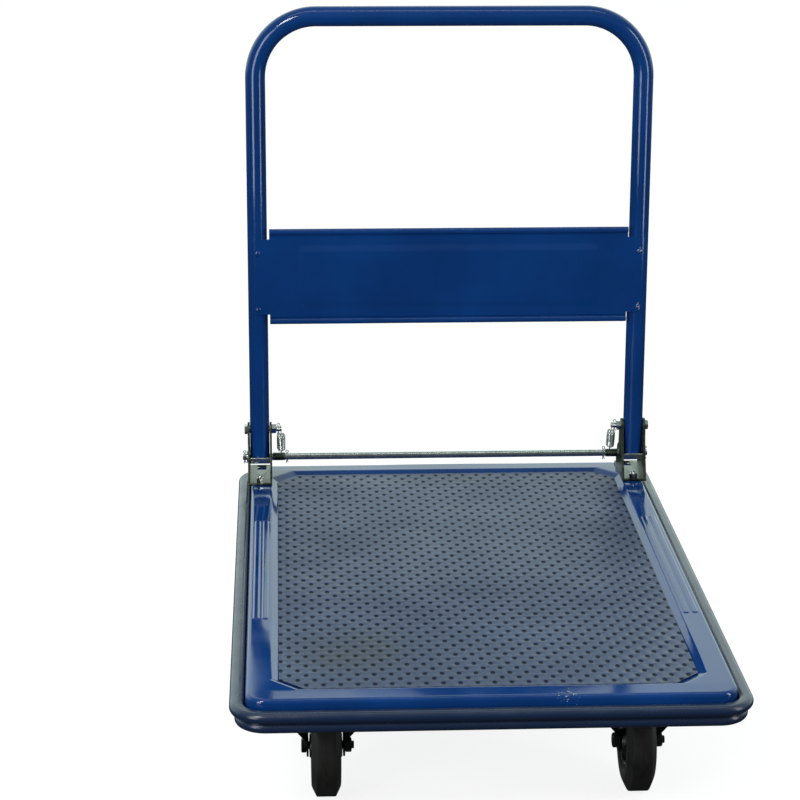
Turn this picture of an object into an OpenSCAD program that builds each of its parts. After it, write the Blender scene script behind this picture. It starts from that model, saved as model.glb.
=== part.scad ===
// Folding platform cart: a pressed steel deck on two rigid and two swivel casters, with a tube
// handle that folds down over the deck and a sprung foot rod behind it.
// Millimetres. Origin on the floor under the middle of the deck, +Z up, +Y towards the handle.

/* [Platform] */
// Width over the bumper
cart_w = 610; // [500:10:740]
// Length over the bumper
cart_l = 920; // [760:10:1110]
// Depth of the bumper, from the pan's skirt to the outside of the upper bead
bumper_d = 19; // [17:0.5:24]
// Radius of the bumper's two beads
bead_r = 6.75; // [5.5:0.25:8]
// How far the lower bead sits inside the upper one
bead_step = 6; // [3:0.5:8]
// Wall of the bumper's clip
clip_t = 2.5; // [2:0.1:3.5]
// Sheet thickness of the pan
pan_t = 1.5; // [1:0.1:2]
// Corner radius of the pan's skirt
pan_r = 24; // [18:1:40]
// Outside radius of the pan's top edge
edge_r = 5; // [4:0.5:8]
// Height of the pan's skirt
skirt_h = 36; // [35:1:45]

/* [Recess and mat] */
// Width of the border round the recess, from the skirt to the top of the slope
border_w = 29.5; // [29:0.5:45]
// Depth of the recess
recess_d = 5; // [3:0.5:8]
// Width of the sloping side of the recess
slope_w = 9; // [5:0.5:14]
// Cut-off corner of the recess floor
corner_cut = 30; // [15:1:60]
// Thickness of the mat
mat_t = 1.5; // [1:0.1:2.5]
// Gap between the mat and the foot of the slope
mat_gap = 0.4; // [0.2:0.1:2]
// Length of the ribs pressed into the side borders
rib_l = 375; // [200:5:460]
// Width of one rib
rib_w = 8.6; // [5:0.2:9]
// Distance between the two ribs' centre lines
rib_gap = 11.2; // [10:0.2:14]
// Height of a rib
rib_h = 1.2; // [0.5:0.1:2]

/* [Underframe] */
// Height of the cross channels under the recess
channel_h = 25.5; // [22:0.5:40]
// Width of a cross channel, without its flanges
channel_w = 114; // [110:1:150]
// Sheet thickness of the channels
channel_t = 2; // [1.5:0.1:3]
// Width of a channel's flange
flange_w = 14; // [10:1:25]
// Distance from the end of a cross channel to the pan's skirt
channel_end = 40; // [36:1:60]
// Width of a lengthwise stringer, without its flanges
stringer_w = 36; // [25:1:60]
// Height of a stringer
stringer_h = 16; // [10:1:20]
// Distance of each stringer from the middle
stringer_x = 110; // [60:5:160]
// Gap between a stringer's end and the cross channel's flange
stringer_gap = 2; // [1:0.5:10]

/* [Casters] */
// Height of a caster, floor to the top of its plate
caster_h = 160; // [155:1:190]
// Wheel diameter
wheel_d = 125; // [100:1:130]
// Wheel width
wheel_w = 36; // [30:1:38]
// Width of the flat tread
tread_w = 22; // [18:1:28]
// Radius of the wheel's plastic centre
centre_r = 34; // [30:1:40]
// Distance from the side of the cart to a caster's middle
caster_in_x = 114; // [100:1:150]
// Distance from the end of the cart to a caster's middle
caster_in_y = 180; // [160:5:230]
// How far a swivel caster's wheel trails behind its pin
trail = 35; // [25:1:40]
// Caster plate width
plate_w = 86; // [82:1:100]
// Caster plate length
plate_l = 105; // [100:1:112]
// Caster plate thickness
plate_t = 3; // [2:0.1:4]
// Distance between the plate's bolts across the cart
bolt_pitch_x = 60; // [56:1:66]
// Distance between the plate's bolts along the cart
bolt_pitch_y = 80; // [76:1:84]
// Gap between a fork's legs
fork_gap = 42; // [40:0.5:46]
// Sheet thickness of a fork
fork_t = 2.5; // [2:0.1:3]
// Width over a fork at its top
fork_top_w = 73; // [60:1:76]
// Height above the axle at which a fork's legs start to flare
flare_up = 10; // [9.5:0.5:20]
// Height over which the legs flare
flare_h = 17; // [12:1:30]
// Radius of a leg's round lower end
leg_r = 14; // [11:1:18]
// Axle bolt diameter
axle_d = 10; // [8:0.5:12]
// Axle bush outer diameter
axle_bush_d = 16; // [14:0.5:20]
// King pin diameter
king_d = 12; // [10:0.5:14]
// Ball diameter of the swivel race
ball_d = 5; // [4:0.25:6]
// Radius of the ring of balls
race_r = 24; // [20:1:28]

/* [Handle] */
// Height of the cart to the top of the handle
handle_h = 880; // [760:10:1060]
// Outside diameter of the handle tube
tube_d = 28; // [22:1:32]
// Wall of the handle tube
tube_t = 1.5; // [1:0.1:2.5]
// Bend radius of the tube's centre line
bend_r = 85; // [50:5:120]
// Distance from the side of the cart to a leg's centre line
leg_in = 32; // [30:0.5:45]
// Distance from the rear end of the cart to the fold axis
pivot_in = 83.5; // [70:0.5:120]
// Height of the fold axis above the deck
pivot_up = 76; // [74:1:100]
// Length of tube below the fold axis
tail_l = 44; // [36:1:45]

/* [Back panel] */
// Height of the panel's lower edge above the deck
panel_up = 236.5; // [150:0.5:300]
// Height of the panel
panel_h = 139; // [100:1:180]
// Sheet thickness of the panel
panel_t = 1.2; // [0.8:0.1:1.6]
// Radius of the panel's rolled edges
roll_r = 4.5; // [3.5:0.25:6]
// Height of the end tabs that wrap the legs
tab_h = 110; // [70:1:120]
// Angle that an end tab wraps round its leg
tab_wrap = 50; // [30:5:80]
// Gap between the panel's rolled edges and the legs
panel_side_gap = 3; // [2:0.5:8]
// Distance from the panel's end to its raised field
field_in_x = 45; // [25:1:80]
// Distance from the panel's edge to its raised field
field_in_z = 23; // [14:1:35]
// Height of the raised field
field_h = 2.4; // [1.5:0.1:4]
// Width of the raised field's sloping side
field_slope = 6; // [3:0.5:10]
// Distance between the two rivets of a tab
rivet_pitch = 82; // [50:1:90]
// Rivet shank diameter
rivet_d = 4.8; // [3.2:0.2:5]

/* [Hinge] */
// Sheet thickness of a hinge bracket
ear_t = 3; // [2:0.1:4]
// Gap between the handle tube and each ear
ear_gap = 0.5; // [0.3:0.1:1]
// Length of the bracket's base in front of the fold axis
base_front = 33.5; // [30:0.5:40]
// Length of the bracket's base behind the fold axis
base_rear = 58; // [46:0.5:60]
// Radius of an ear's rounded top
ear_r = 10.5; // [9:0.5:13]
// Pivot bolt diameter
pivot_d = 8; // [6:0.5:10]
// Pivot bush outer diameter
bush_d = 12; // [11:0.5:14]
// Base bolt diameter
base_bolt_d = 6; // [5:0.5:8]
// Height of the stop bar that the tube rests against
stop_h = 9; // [6:0.5:10]
// Thickness of the stop bar
stop_t = 3; // [2:0.5:4]
// Width of the hole in the base
hole_w = 13; // [8:0.5:16]
// Length of the hole in the base
hole_l = 20; // [12:0.5:22]

/* [Foot rod] */
// Rod diameter
rod_d = 10; // [8:0.5:10]
// Distance of the rod behind the fold axis
rod_back = 20; // [19:0.5:22]
// Height of the rod above the deck
rod_up = 27.5; // [26:0.5:28]
// Travel of the rod when it is pressed
rod_travel = 10; // [6:0.5:10]
// Length of rod outside each bracket
rod_out = 8; // [7:0.5:14]
// Length of the sleeve wound on the rod beside each bracket
sleeve_l = 19; // [12:0.5:26]
// Outside diameter of the sleeve
sleeve_d = 12; // [11.5:0.5:16]
// Outside diameter of a return spring
spring_d = 13; // [8:0.5:14]
// Length of a return spring's coil
spring_l = 26; // [18:1:28]
// Wire diameter of a return spring
wire_d = 1.6; // [1.2:0.1:2]
// Diameter of the split pins
pin_d = 2; // [1.6:0.1:2.5]

/* [Fits] */
// Radial clearance of a running shaft
run_gap = 0.08; // [0.02:0.01:0.1]
// Clearance between pieces that are fixed together
seat_gap = 0.02; // [0.01:0.01:0.05]
// Radial clearance of a bolt in its hole
bolt_gap = 0.3; // [0.2:0.05:0.5]
// Clearance between pieces that slide or pass each other
slide_gap = 0.4; // [0.3:0.05:0.8]

/* [Hidden] */
$fn = 48;

left = -1;
right = 1;

// The pan, from the underside up
channel_top = caster_h + channel_h;
deck_z = channel_top + pan_t + recess_d;
floor_z = deck_z - recess_d;
pan_x = cart_w / 2 - bumper_d;
pan_y = cart_l / 2 - bumper_d;
recess_x = pan_x - border_w;
recess_y = pan_y - border_w;
floor_x = recess_x - slope_w;
floor_y = recess_y - slope_w;
// Level offset that gives the slope the sheet's own thickness
slope_back = pan_t * (norm([recess_d, slope_w]) - slope_w) / recess_d;
rib_edge = 1.5;
rib_x = pan_x - edge_r - rib_edge - (rib_gap + rib_w) / 2;

// The bumper's beads, as distances from the skirt and below the deck
upper_bead_x = bumper_d - bead_r;
upper_bead_z = 17.5;
lower_bead_x = bumper_d - bead_step - bead_r;
lower_bead_z = upper_bead_z + 2 * bead_r + 0.5;
clip_h = 14;

// Casters
caster_x = cart_w / 2 - caster_in_x;
caster_y = cart_l / 2 - caster_in_y;
channel_x = pan_x - channel_end;
channel_wall = channel_w / 2 + channel_t;
axle_z = wheel_d / 2;
fork_w = fork_gap + 2 * fork_t;
flare_z = axle_z + flare_up;
plate_z = caster_h - plate_t;
hub_w = fork_gap - 2;
m8_d = 8;
m8_af = 13;
m8_head = 5.3;
m8_nut = 6.5;
m6_af = 10;
m6_head = 4;
m6_nut = 5;
pivot_head = 4.5;
// Length of thread that shows beyond a nut
thread_out = 3;
axle_af = 16;
axle_head = 6.5;
axle_nut = 8;
race_h = 2.6;
race_w = 9;
crown_t = 3;
crown_z = plate_z - 2 * race_h - ball_d - 2 * slide_gap - crown_t;
crown_front = 27;
crown_rear = 31;
balls = 14;
// The guard ring hangs outside the balls
guard_gap = 1.7;
guard_t = 2;
// Half the depth of a rigid fork's legs at the top, and where along the leg they start to narrow
fork_half = 29;
waist = 0.7;
plate_r = 8;
king_flange = 4;
washer_w = 4;
washer_t = 1.5;

// Wheels: the rim's inset from the tyre's side, the tyre's lip, the share of its height that the
// shoulder takes, the tread's edge, and half the thickness of the web
rim_in = 3;
lip_h = 3;
lip_w = 1.5;
shoulder_share = 0.46;
tread_edge = [0.6, 1];
rim_wall = 5;
web_half = 4;
boss_wall = 7;
web_slope = 2;
bush_out = 0.3;

// Handle
leg_x = cart_w / 2 - leg_in;
pivot_y = cart_l / 2 - pivot_in;
pivot_z = deck_z + pivot_up;
tube_r = tube_d / 2;
top_z = handle_h - tube_r;
bend_z = top_z - bend_r;
tail_z = pivot_z - tail_l;
tab_r = tube_r + 0.05;
panel_y = pivot_y - tab_r - panel_t;
panel_z = deck_z + panel_up;
panel_x = leg_x - tube_r - panel_side_gap;
panel_mid = panel_z + panel_h / 2;
// The pair of rivets sits a little below the panel's middle
rivet_drop = 7;
rivet_z = panel_mid - rivet_pitch / 2 - rivet_drop;
rivet_head = 1.5;
rivet_l = 6;

// Hinge brackets: the ears' inner and outer faces, from the leg's centre line
ear_in = tube_r + ear_gap;
ear_out = ear_in + ear_t;
base_t = ear_t;
rod_y = pivot_y + rod_back;
rod_z = deck_z + rod_up;
stop_y = pivot_y - tube_r - slide_gap - stop_t;
// The stop bar reaches a little below the tube's end
stop_below = 4;
stop_z = tail_z - stop_below;
// The base bolt stands this far in from the front edge
bolt_in_front = 13;
base_bolt_y = pivot_y - base_front + bolt_in_front;
// The hole's distance from the base's rear edge, and how far it is moved inwards
hole_edge = 4;
hole_shift = 2;
hole_y = pivot_y + base_rear - hole_l - hole_edge;
// The ears end this far behind the fold axis
ear_rear = 42;
ear_side = [[-base_front + 2.5, 0], [-base_front + 2.5, 10], [-ear_r - 5.5, pivot_up - 32],
  [-ear_r, pivot_up], [ear_r, pivot_up], [rod_back - 1.5, pivot_up - 16], [rod_back, rod_up + 16.5],
  [rod_back + 11, rod_up + 10.5], [ear_rear, 14], [ear_rear, 0]];

// Foot rod and its springs
rod_x = leg_x + ear_out + rod_out;
bolt_in = 14.5;
spring_x = leg_x - ear_out - bolt_in + 1;
spring_run = norm([rod_back, pivot_up - rod_up]);
spring_lean = atan2(rod_back, pivot_up - rod_up);
spring_from = 12;
pin_tail = 6;
// A split pin stands this far from the nut, the sleeve or the rod's end
pin_in = 3;

steel_blue = [0.07, 0.22, 0.5];
mat_blue = [0.33, 0.38, 0.47];
bumper_blue = [0.2, 0.25, 0.36];
zinc = [0.62, 0.65, 0.62];
bright = [0.8, 0.82, 0.82];
dark_zinc = [0.16, 0.16, 0.16];
rubber = [0.07, 0.07, 0.065];
plastic = [0.1, 0.1, 0.1];
brass = [0.7, 0.6, 0.35];

// ---- helpers ----

// A rectangle of half size x by y with its corners cut off
module cut_rect(x, y, cut) {
  polygon([[x, -y + cut], [x, y - cut], [x - cut, y], [-x + cut, y],
    [-x, y - cut], [-x, -y + cut], [-x + cut, -y], [x - cut, -y]]);
}

// A bar of length l and width w with round ends, along Y
module slot_2d(l, w) {
  square([w, l - w], center = true);
  for (y = [-1, 1]) translate([0, y * (l - w) / 2]) circle(d = w);
}

// Sweeps a section round a rectangle of half size x by y with corner radius r.
// In the section X is the distance outwards from the rectangle and Y is the height.
module sweep_round(x, y, r) {
  for (c = [[1, 1, 0], [-1, 1, 90], [-1, -1, 180], [1, -1, 270]])
    translate([c[0] * (x - r), c[1] * (y - r), 0]) rotate(c[2])
      rotate_extrude(angle = 90) translate([r, 0]) children();
  for (turn = [0, 180]) rotate(turn) {
    translate([x, y - r, 0]) rotate([90, 0, 0]) linear_extrude(2 * (y - r)) children();
    rotate(90) translate([y, x - r, 0]) rotate([90, 0, 0])
      linear_extrude(2 * (x - r)) children();
  }
}

module rounded_2d(x, y, r) {
  square([2 * x, 2 * (y - r)], center = true);
  square([2 * (x - r), 2 * y], center = true);
  for (i = [-1, 1], j = [-1, 1]) translate([i * (x - r), j * (y - r)]) circle(r);
}

module hex(af, h) cylinder(d = af / cos(30), h = h, $fn = 6);

// Bolt along +Z: head below z = 0, shank above it
module hex_bolt(d, l, af, head) {
  translate([0, 0, -head]) hex(af, head);
  cylinder(d = d, h = l);
}

module hex_nut(d, af, h) difference() {
  hex(af, h);
  translate([0, 0, -1]) cylinder(r = d / 2 + seat_gap, h = h + 2);
}

// Low round head, flat side on z = 0
module dome(r, h) {
  big = (r * r + h * h) / (2 * h);
  rotate_extrude() intersection() {
    translate([0, h - big]) circle(big);
    square([r, h]);
  }
}

// Split pin along -Z through a shaft of radius r, its eye above the shaft
module split_pin(r) {
  eye = pin_d * 1.1;
  translate([0, 0, -r - pin_tail]) cylinder(d = pin_d, h = 2 * r + pin_tail + 1);
  translate([0, 0, r + eye + 1]) rotate([90, 0, 0])
    rotate_extrude() translate([eye, 0]) circle(d = pin_d / 2);
}

module along_x() rotate([0, 90, 0]) children();
module on_side(s) if (s == right) children(); else mirror([1, 0, 0]) children();
module at_pivot() translate([leg_x, pivot_y, pivot_z]) children();
module each_side() {
  children();
  mirror([1, 0, 0]) children();
}
module at_casters(rows) for (s = [left, right], row = rows)
  translate([s * caster_x, row * caster_y, 0]) children();
module at_plate_bolts() for (i = [-1, 1], j = [-1, 1])
  translate([i * bolt_pitch_x / 2, j * bolt_pitch_y / 2, 0]) children();

// ---- deck ----

module pan_section() {
  translate([-pan_t, deck_z - skirt_h]) square([pan_t, skirt_h - edge_r]);
  translate([-edge_r, deck_z - edge_r]) intersection() {
    difference() {
      circle(edge_r);
      circle(edge_r - pan_t);
    }
    square(edge_r);
  }
}

// Tapered solid with cut corners: half size x by y at the foot, wider by side at the top
module taper(x, y, cut, side, h)
  linear_extrude(h, scale = [(x + side) / x, (y + side) / y], slices = 1, segments = 1)
    cut_rect(x, y, cut);

module deck_pan() color(steel_blue) difference() {
  union() {
    sweep_round(pan_x, pan_y, pan_r) pan_section();
    translate([0, 0, deck_z - pan_t]) linear_extrude(pan_t)
      rounded_2d(pan_x - edge_r, pan_y - edge_r, pan_r - edge_r);
    translate([0, 0, floor_z - pan_t])
      taper(floor_x + slope_back, floor_y + slope_back, corner_cut, slope_w, recess_d);
    each_side() for (i = [-1, 1]) translate([rib_x + i * rib_gap / 2, 0, deck_z - pan_t / 2])
      linear_extrude(rib_h + pan_t / 2) slot_2d(rib_l, rib_w);
  }
  translate([0, 0, floor_z]) {
    taper(floor_x, floor_y, corner_cut, slope_w, recess_d);
    translate([0, 0, recess_d]) linear_extrude(1)
      scale([recess_x / floor_x, recess_y / floor_y]) cut_rect(floor_x, floor_y, corner_cut);
  }
  each_side() translate([leg_x, base_bolt_y, deck_z - 3])
    cylinder(r = base_bolt_d / 2 + bolt_gap, h = 6);
}

module deck_mat() color(mat_blue) translate([0, 0, floor_z]) linear_extrude(mat_t)
  cut_rect(floor_x - mat_gap, floor_y - mat_gap, corner_cut);

// Clip-on profile: a groove that holds the skirt's lower edge, and two beads outside it
module bumper_section() {
  foot = deck_z - skirt_h - 0.1 - clip_t;
  gap = 0.15;
  difference() {
    union() {
      translate([upper_bead_x, deck_z - upper_bead_z]) circle(bead_r);
      translate([lower_bead_x, deck_z - lower_bead_z]) circle(bead_r);
      translate([gap, deck_z - upper_bead_z - bead_r]) square([upper_bead_x, bead_r - 1.5]);
    }
    translate([-2 * bead_r, foot]) square([2 * bead_r + gap, 60]);
  }
  translate([gap, foot]) square([clip_t, deck_z - upper_bead_z - foot]);
  translate([-pan_t - gap - clip_t, foot]) square([pan_t + 2 * (gap + clip_t), clip_t]);
  translate([-pan_t - gap - clip_t, foot]) square([clip_t, clip_h]);
}

module bumper() color(bumper_blue) sweep_round(pan_x, pan_y, pan_r) bumper_section();

// Hat section: open side up, flanges outwards at height h
module hat_2d(w, h, t) {
  translate([-w / 2 - t, 0]) square([w + 2 * t, t]);
  for (s = [0, 1]) mirror([s, 0]) {
    translate([w / 2, 0]) square([t, h]);
    translate([w / 2, h - t]) square([t + flange_w, t]);
  }
}

module cross_channel(row) color(steel_blue) difference() {
  translate([-channel_x, row * caster_y, caster_h]) rotate([90, 0, 90])
    linear_extrude(2 * channel_x) hat_2d(channel_w, channel_h, channel_t);
  at_casters([row]) at_plate_bolts() translate([0, 0, caster_h - 1])
    cylinder(r = m8_d / 2 + bolt_gap, h = channel_t + 2);
}

module stringers() color(steel_blue) {
  l = 2 * (caster_y - channel_wall - flange_w - stringer_gap);
  each_side() translate([stringer_x, l / 2, channel_top - stringer_h]) rotate([90, 0, 0])
    linear_extrude(l) hat_2d(stringer_w, stringer_h, channel_t);
}

// ---- hinge brackets ----

module ear_2d() {
  polygon(ear_side);
  translate([0, pivot_up]) circle(ear_r);
}

module ear() rotate([90, 0, 90]) linear_extrude(ear_t) difference() {
  ear_2d();
  translate([0, pivot_up]) circle(pivot_d / 2 + bolt_gap);
  translate([rod_back, rod_up - rod_travel / 2])
    slot_2d(rod_travel + rod_d + 2 * slide_gap, rod_d + 2 * slide_gap);
}

module hinge_bracket(s) color(zinc) on_side(s) difference() {
  translate([leg_x, pivot_y, deck_z]) {
    translate([-ear_out, -base_front, 0]) cube([2 * ear_out, base_front + base_rear, base_t]);
    translate([-ear_out, 0, 0]) ear();
    translate([ear_in, 0, 0]) ear();
  }
  translate([leg_x - hole_w / 2 - hole_shift, hole_y, deck_z - 1])
    cube([hole_w, hole_l, base_t + 2]);
  translate([leg_x, base_bolt_y, deck_z - 1])
    cylinder(r = base_bolt_d / 2 + bolt_gap, h = base_t + 2);
}

module stop_bars() color(bright) each_side()
  translate([leg_x - ear_in + seat_gap, stop_y, stop_z])
    cube([2 * (ear_in - seat_gap), stop_t, stop_h]);

// The base bolts come up from under the pan and carry their nuts on top of the base
module hinge_base_bolts() color(bright) each_side()
  translate([leg_x, base_bolt_y, deck_z - pan_t])
    hex_bolt(base_bolt_d, pan_t + base_t + m6_nut + thread_out, m6_af, m6_head);

module hinge_base_nuts() color(bright) each_side()
  translate([leg_x, base_bolt_y, deck_z + base_t]) hex_nut(base_bolt_d, m6_af, m6_nut);

module pivot_bolts() color(bright) each_side() at_pivot() difference() {
  translate([ear_out, 0, 0]) rotate([0, -90, 0])
    hex_bolt(pivot_d, 2 * ear_out + bolt_in, m8_af, pivot_head);
  translate([-ear_out - m8_nut - pin_in, 0, -10]) cylinder(r = pin_d / 2 + 0.1, h = 20);
}

module pivot_nuts() color(bright) each_side() at_pivot()
  translate([-ear_out, 0, 0]) rotate([0, -90, 0]) hex_nut(pivot_d, m8_af, m8_nut);

module pivot_split_pins() color(bright) each_side() at_pivot()
  translate([-ear_out - m8_nut - pin_in, 0, 0]) split_pin(pivot_d / 2);

// The return spring runs from the pivot bolt's end down to the sleeve on the rod
module spring(s) color(bright) on_side(s) translate([spring_x, pivot_y, pivot_z])
  rotate([180 + spring_lean, 0, 0]) {
    translate([0, 0, spring_from]) difference() {
      cylinder(d = spring_d, h = spring_l);
      translate([0, 0, wire_d]) cylinder(d = spring_d - 2 * wire_d, h = spring_l - 2 * wire_d);
    }
    translate([0, 0, pivot_d / 2 + 0.3]) cylinder(d = wire_d, h = spring_from - pivot_d / 2);
    translate([0, 0, spring_from + spring_l - 0.3])
      cylinder(d = wire_d, h = spring_run - sleeve_d / 2 - spring_from - spring_l);
  }

// ---- handle ----

module ring_2d() difference() {
  circle(tube_r);
  circle(tube_r - tube_t);
}

module handle_tube() color(steel_blue) difference() {
  union() {
    each_side() {
      translate([leg_x, pivot_y, tail_z]) linear_extrude(bend_z - tail_z) ring_2d();
      translate([leg_x - bend_r, pivot_y, bend_z]) rotate([90, 0, 0])
        rotate_extrude(angle = 90) translate([bend_r, 0]) ring_2d();
    }
    translate([bend_r - leg_x, pivot_y, top_z]) along_x()
      linear_extrude(2 * (leg_x - bend_r)) ring_2d();
  }
  each_side() {
    at_pivot() translate([-tube_r - 1, 0, 0]) along_x()
      cylinder(r = bush_d / 2 + seat_gap, h = tube_d + 2);
    for (z = [0, rivet_pitch]) translate([leg_x, pivot_y - tube_r / 2, rivet_z + z])
      rotate([90, 0, 0]) cylinder(r = rivet_d / 2 + seat_gap, h = tube_r);
  }
}

module pivot_bushes() color(brass) each_side() at_pivot() difference() {
  translate([-tube_r - 0.2, 0, 0]) along_x() cylinder(d = bush_d, h = tube_d + 0.4);
  translate([-tube_r - 1, 0, 0]) along_x() cylinder(r = pivot_d / 2 + run_gap, h = tube_d + 2);
}

// Raised field of the panel: its foot lies on the plane y = from
module field(from) {
  w = 2 * (panel_x - field_in_x);
  h = panel_h - 2 * field_in_z;
  translate([0, from, panel_mid]) rotate([90, 0, 0])
    linear_extrude(field_h, scale = [1 - 2 * field_slope / w, 1 - 2 * field_slope / h],
      slices = 1, segments = 1) square([w, h], center = true);
}

module panel_roll(z) translate([-panel_x, panel_y + roll_r / 2, z]) along_x() difference() {
  cylinder(r = roll_r, h = 2 * panel_x);
  translate([0, 0, -1]) cylinder(r = roll_r - panel_t, h = 2 * panel_x + 2);
}

module panel_tab() {
  z = panel_mid - tab_h / 2;
  translate([panel_x - 1, panel_y, z]) cube([leg_x - panel_x + 1, panel_t, tab_h]);
  translate([leg_x, pivot_y, z]) rotate(270) rotate_extrude(angle = tab_wrap)
    translate([tab_r, 0]) square([panel_t, tab_h]);
}

module back_panel() color(steel_blue) difference() {
  union() {
    translate([-panel_x, panel_y, panel_z + 2 * roll_r - panel_t])
      cube([2 * panel_x, panel_t, panel_h - 4 * roll_r + 2 * panel_t]);
    panel_roll(panel_z + roll_r);
    panel_roll(panel_z + panel_h - roll_r);
    each_side() panel_tab();
    field(panel_y);
  }
  field(panel_y + panel_t);
  each_side() for (z = [0, rivet_pitch]) translate([leg_x, panel_y + panel_t + 1, rivet_z + z])
    rotate([90, 0, 0]) cylinder(r = rivet_d / 2 + seat_gap, h = panel_t + 2);
}

module panel_rivets() color(steel_blue) each_side() for (z = [0, rivet_pitch])
  translate([leg_x, panel_y, rivet_z + z]) rotate([90, 0, 0]) {
    dome(rivet_d * 0.85, rivet_head);
    translate([0, 0, -rivet_l]) cylinder(d = rivet_d, h = rivet_l);
  }

// ---- foot rod ----

module foot_rod() color(bright) difference() {
  translate([-rod_x, rod_y, rod_z]) along_x() cylinder(d = rod_d, h = 2 * rod_x);
  at_rod_pins() translate([0, 0, -rod_d]) cylinder(r = pin_d / 2 + 0.1, h = 2 * rod_d);
}

module at_rod_pins() each_side() for (x = [rod_x - pin_in, leg_x - ear_out - sleeve_l - pin_in])
  translate([x, rod_y, rod_z]) children();

module rod_split_pins() color(bright) at_rod_pins() split_pin(rod_d / 2);

module rod_collar(x, d, l) translate([x, rod_y, rod_z]) along_x() difference() {
  cylinder(d = d, h = l);
  translate([0, 0, -1]) cylinder(r = rod_d / 2 + seat_gap, h = l + 2);
}

module rod_sleeves() color(zinc) each_side()
  rod_collar(leg_x - ear_out - slide_gap - sleeve_l, sleeve_d, sleeve_l);

module rod_washers() color(bright) each_side()
  rod_collar(leg_x + ear_out + slide_gap, rod_d + 2 * washer_w, washer_t);

// ---- casters ----

module caster_plate_bolts() color(bright) at_casters([-1, 1]) at_plate_bolts()
  translate([0, 0, plate_z]) hex_bolt(m8_d, plate_t + channel_t + m8_nut + thread_out, m8_af, m8_head);

module caster_plate_nuts() color(bright) at_casters([-1, 1]) at_plate_bolts()
  translate([0, 0, caster_h + channel_t]) hex_nut(m8_d, m8_af, m8_nut);

// Plate with four bolt holes, centred, its top at the caster's full height
module plate() difference() {
  translate([0, 0, plate_z]) linear_extrude(plate_t) rounded_2d(plate_w / 2, plate_l / 2, plate_r);
  at_plate_bolts() translate([0, 0, plate_z - 1])
    cylinder(r = m8_d / 2 + bolt_gap, h = plate_t + 2);
}

// Two fork legs: wide from the top, drawn in to flare_z and straight below, axle at distance back
module legs(top, front, rear, back) {
  lean = (fork_top_w - fork_w) / 2;
  reach = top - axle_z;
  for (m = [0, 1]) mirror([m, 0, 0]) difference() {
    intersection() {
      translate([0, 150, 0]) rotate([90, 0, 0]) linear_extrude(300)
        polygon([[fork_gap / 2, 0], [fork_w / 2, 0], [fork_w / 2, flare_z],
          [fork_w / 2 + lean, flare_z + flare_h], [fork_w / 2 + lean, top],
          [fork_gap / 2 + lean, top], [fork_gap / 2 + lean, flare_z + flare_h],
          [fork_gap / 2, flare_z]]);
      rotate([90, 0, 90]) linear_extrude(fork_top_w) {
        translate([back, axle_z]) circle(leg_r);
        polygon([[back - leg_r, axle_z], [back + leg_r, axle_z], [rear, axle_z + reach * waist],
          [rear, top], [-front, top], [-front, axle_z + reach * waist]]);
      }
    }
    translate([0, back, axle_z]) along_x() cylinder(r = axle_d / 2 + bolt_gap, h = fork_top_w);
  }
}

module rigid_fork(s) color(dark_zinc) translate([s * caster_x, -caster_y, 0]) {
  plate();
  legs(plate_z, fork_half, fork_half, 0);
}

module axle_bolt() translate([-fork_w / 2, 0, axle_z]) along_x()
  hex_bolt(axle_d, fork_w + axle_nut + thread_out, axle_af, axle_head);

module axle_nut_piece() translate([fork_w / 2, 0, axle_z]) along_x()
  hex_nut(axle_d, axle_af, axle_nut);

module at_front_wheel(s) translate([s * caster_x, -caster_y, 0]) children();
module at_rear_wheel(s) translate([s * caster_x, caster_y + trail, 0]) children();

module front_axle_bolts() color(dark_zinc)
  for (s = [left, right]) at_front_wheel(s) axle_bolt();
module front_axle_nuts() color(dark_zinc)
  for (s = [left, right]) at_front_wheel(s) axle_nut_piece();

// Ring with a flat section, from z up
module race(z, r, w, h) translate([0, 0, z]) difference() {
  cylinder(r = r + w / 2, h = h);
  translate([0, 0, -1]) cylinder(r = r - w / 2, h = h + 2);
}

module swivel_plate(s) color(dark_zinc) translate([s * caster_x, caster_y, 0]) difference() {
  union() {
    plate();
    race(plate_z - race_h, race_r, race_w, race_h + 0.5);
    race(plate_z - 2 * race_h - ball_d, race_r + race_w / 2 + guard_gap, guard_t,
      2 * race_h + ball_d + 0.5);
  }
  translate([0, 0, plate_z - 1]) cylinder(r = king_d / 2 + seat_gap, h = plate_t + 2);
}

module king_pins() color(bright) for (s = [left, right]) translate([s * caster_x, caster_y, 0]) {
  translate([0, 0, crown_z - slide_gap - king_flange])
      cylinder(d = king_d + 2 * king_flange, h = king_flange);
  translate([0, 0, crown_z - slide_gap - 1])
      cylinder(d = king_d, h = caster_h - crown_z + slide_gap + 1);
}

module swivel_fork(s) color(dark_zinc) translate([s * caster_x, caster_y, 0]) difference() {
  union() {
    translate([-fork_top_w / 2, -crown_front, crown_z])
      cube([fork_top_w, crown_front + crown_rear, crown_t]);
    race(crown_z, race_r, race_w, crown_t + race_h);
    legs(crown_z, crown_front, crown_rear, trail);
  }
  translate([0, 0, crown_z - 1]) cylinder(r = king_d / 2 + run_gap, h = crown_t + 2);
}

module race_balls(s) color(bright) translate([s * caster_x, caster_y, 0])
  for (i = [0 : balls - 1]) rotate(i * 360 / balls)
    translate([race_r, 0, crown_z + crown_t + race_h + slide_gap + ball_d / 2])
      sphere(d = ball_d);

module rear_axle_bolt(s) color(dark_zinc) at_rear_wheel(s) axle_bolt();
module rear_axle_nut(s) color(dark_zinc) at_rear_wheel(s) axle_nut_piece();

// ---- wheels ----

// Section drawn in the X-Y plane (X is the radius, Y is across the wheel), turned on the axle
module wheel_turn() translate([0, 0, axle_z]) along_x() rotate_extrude($fn = 96) children();

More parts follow.
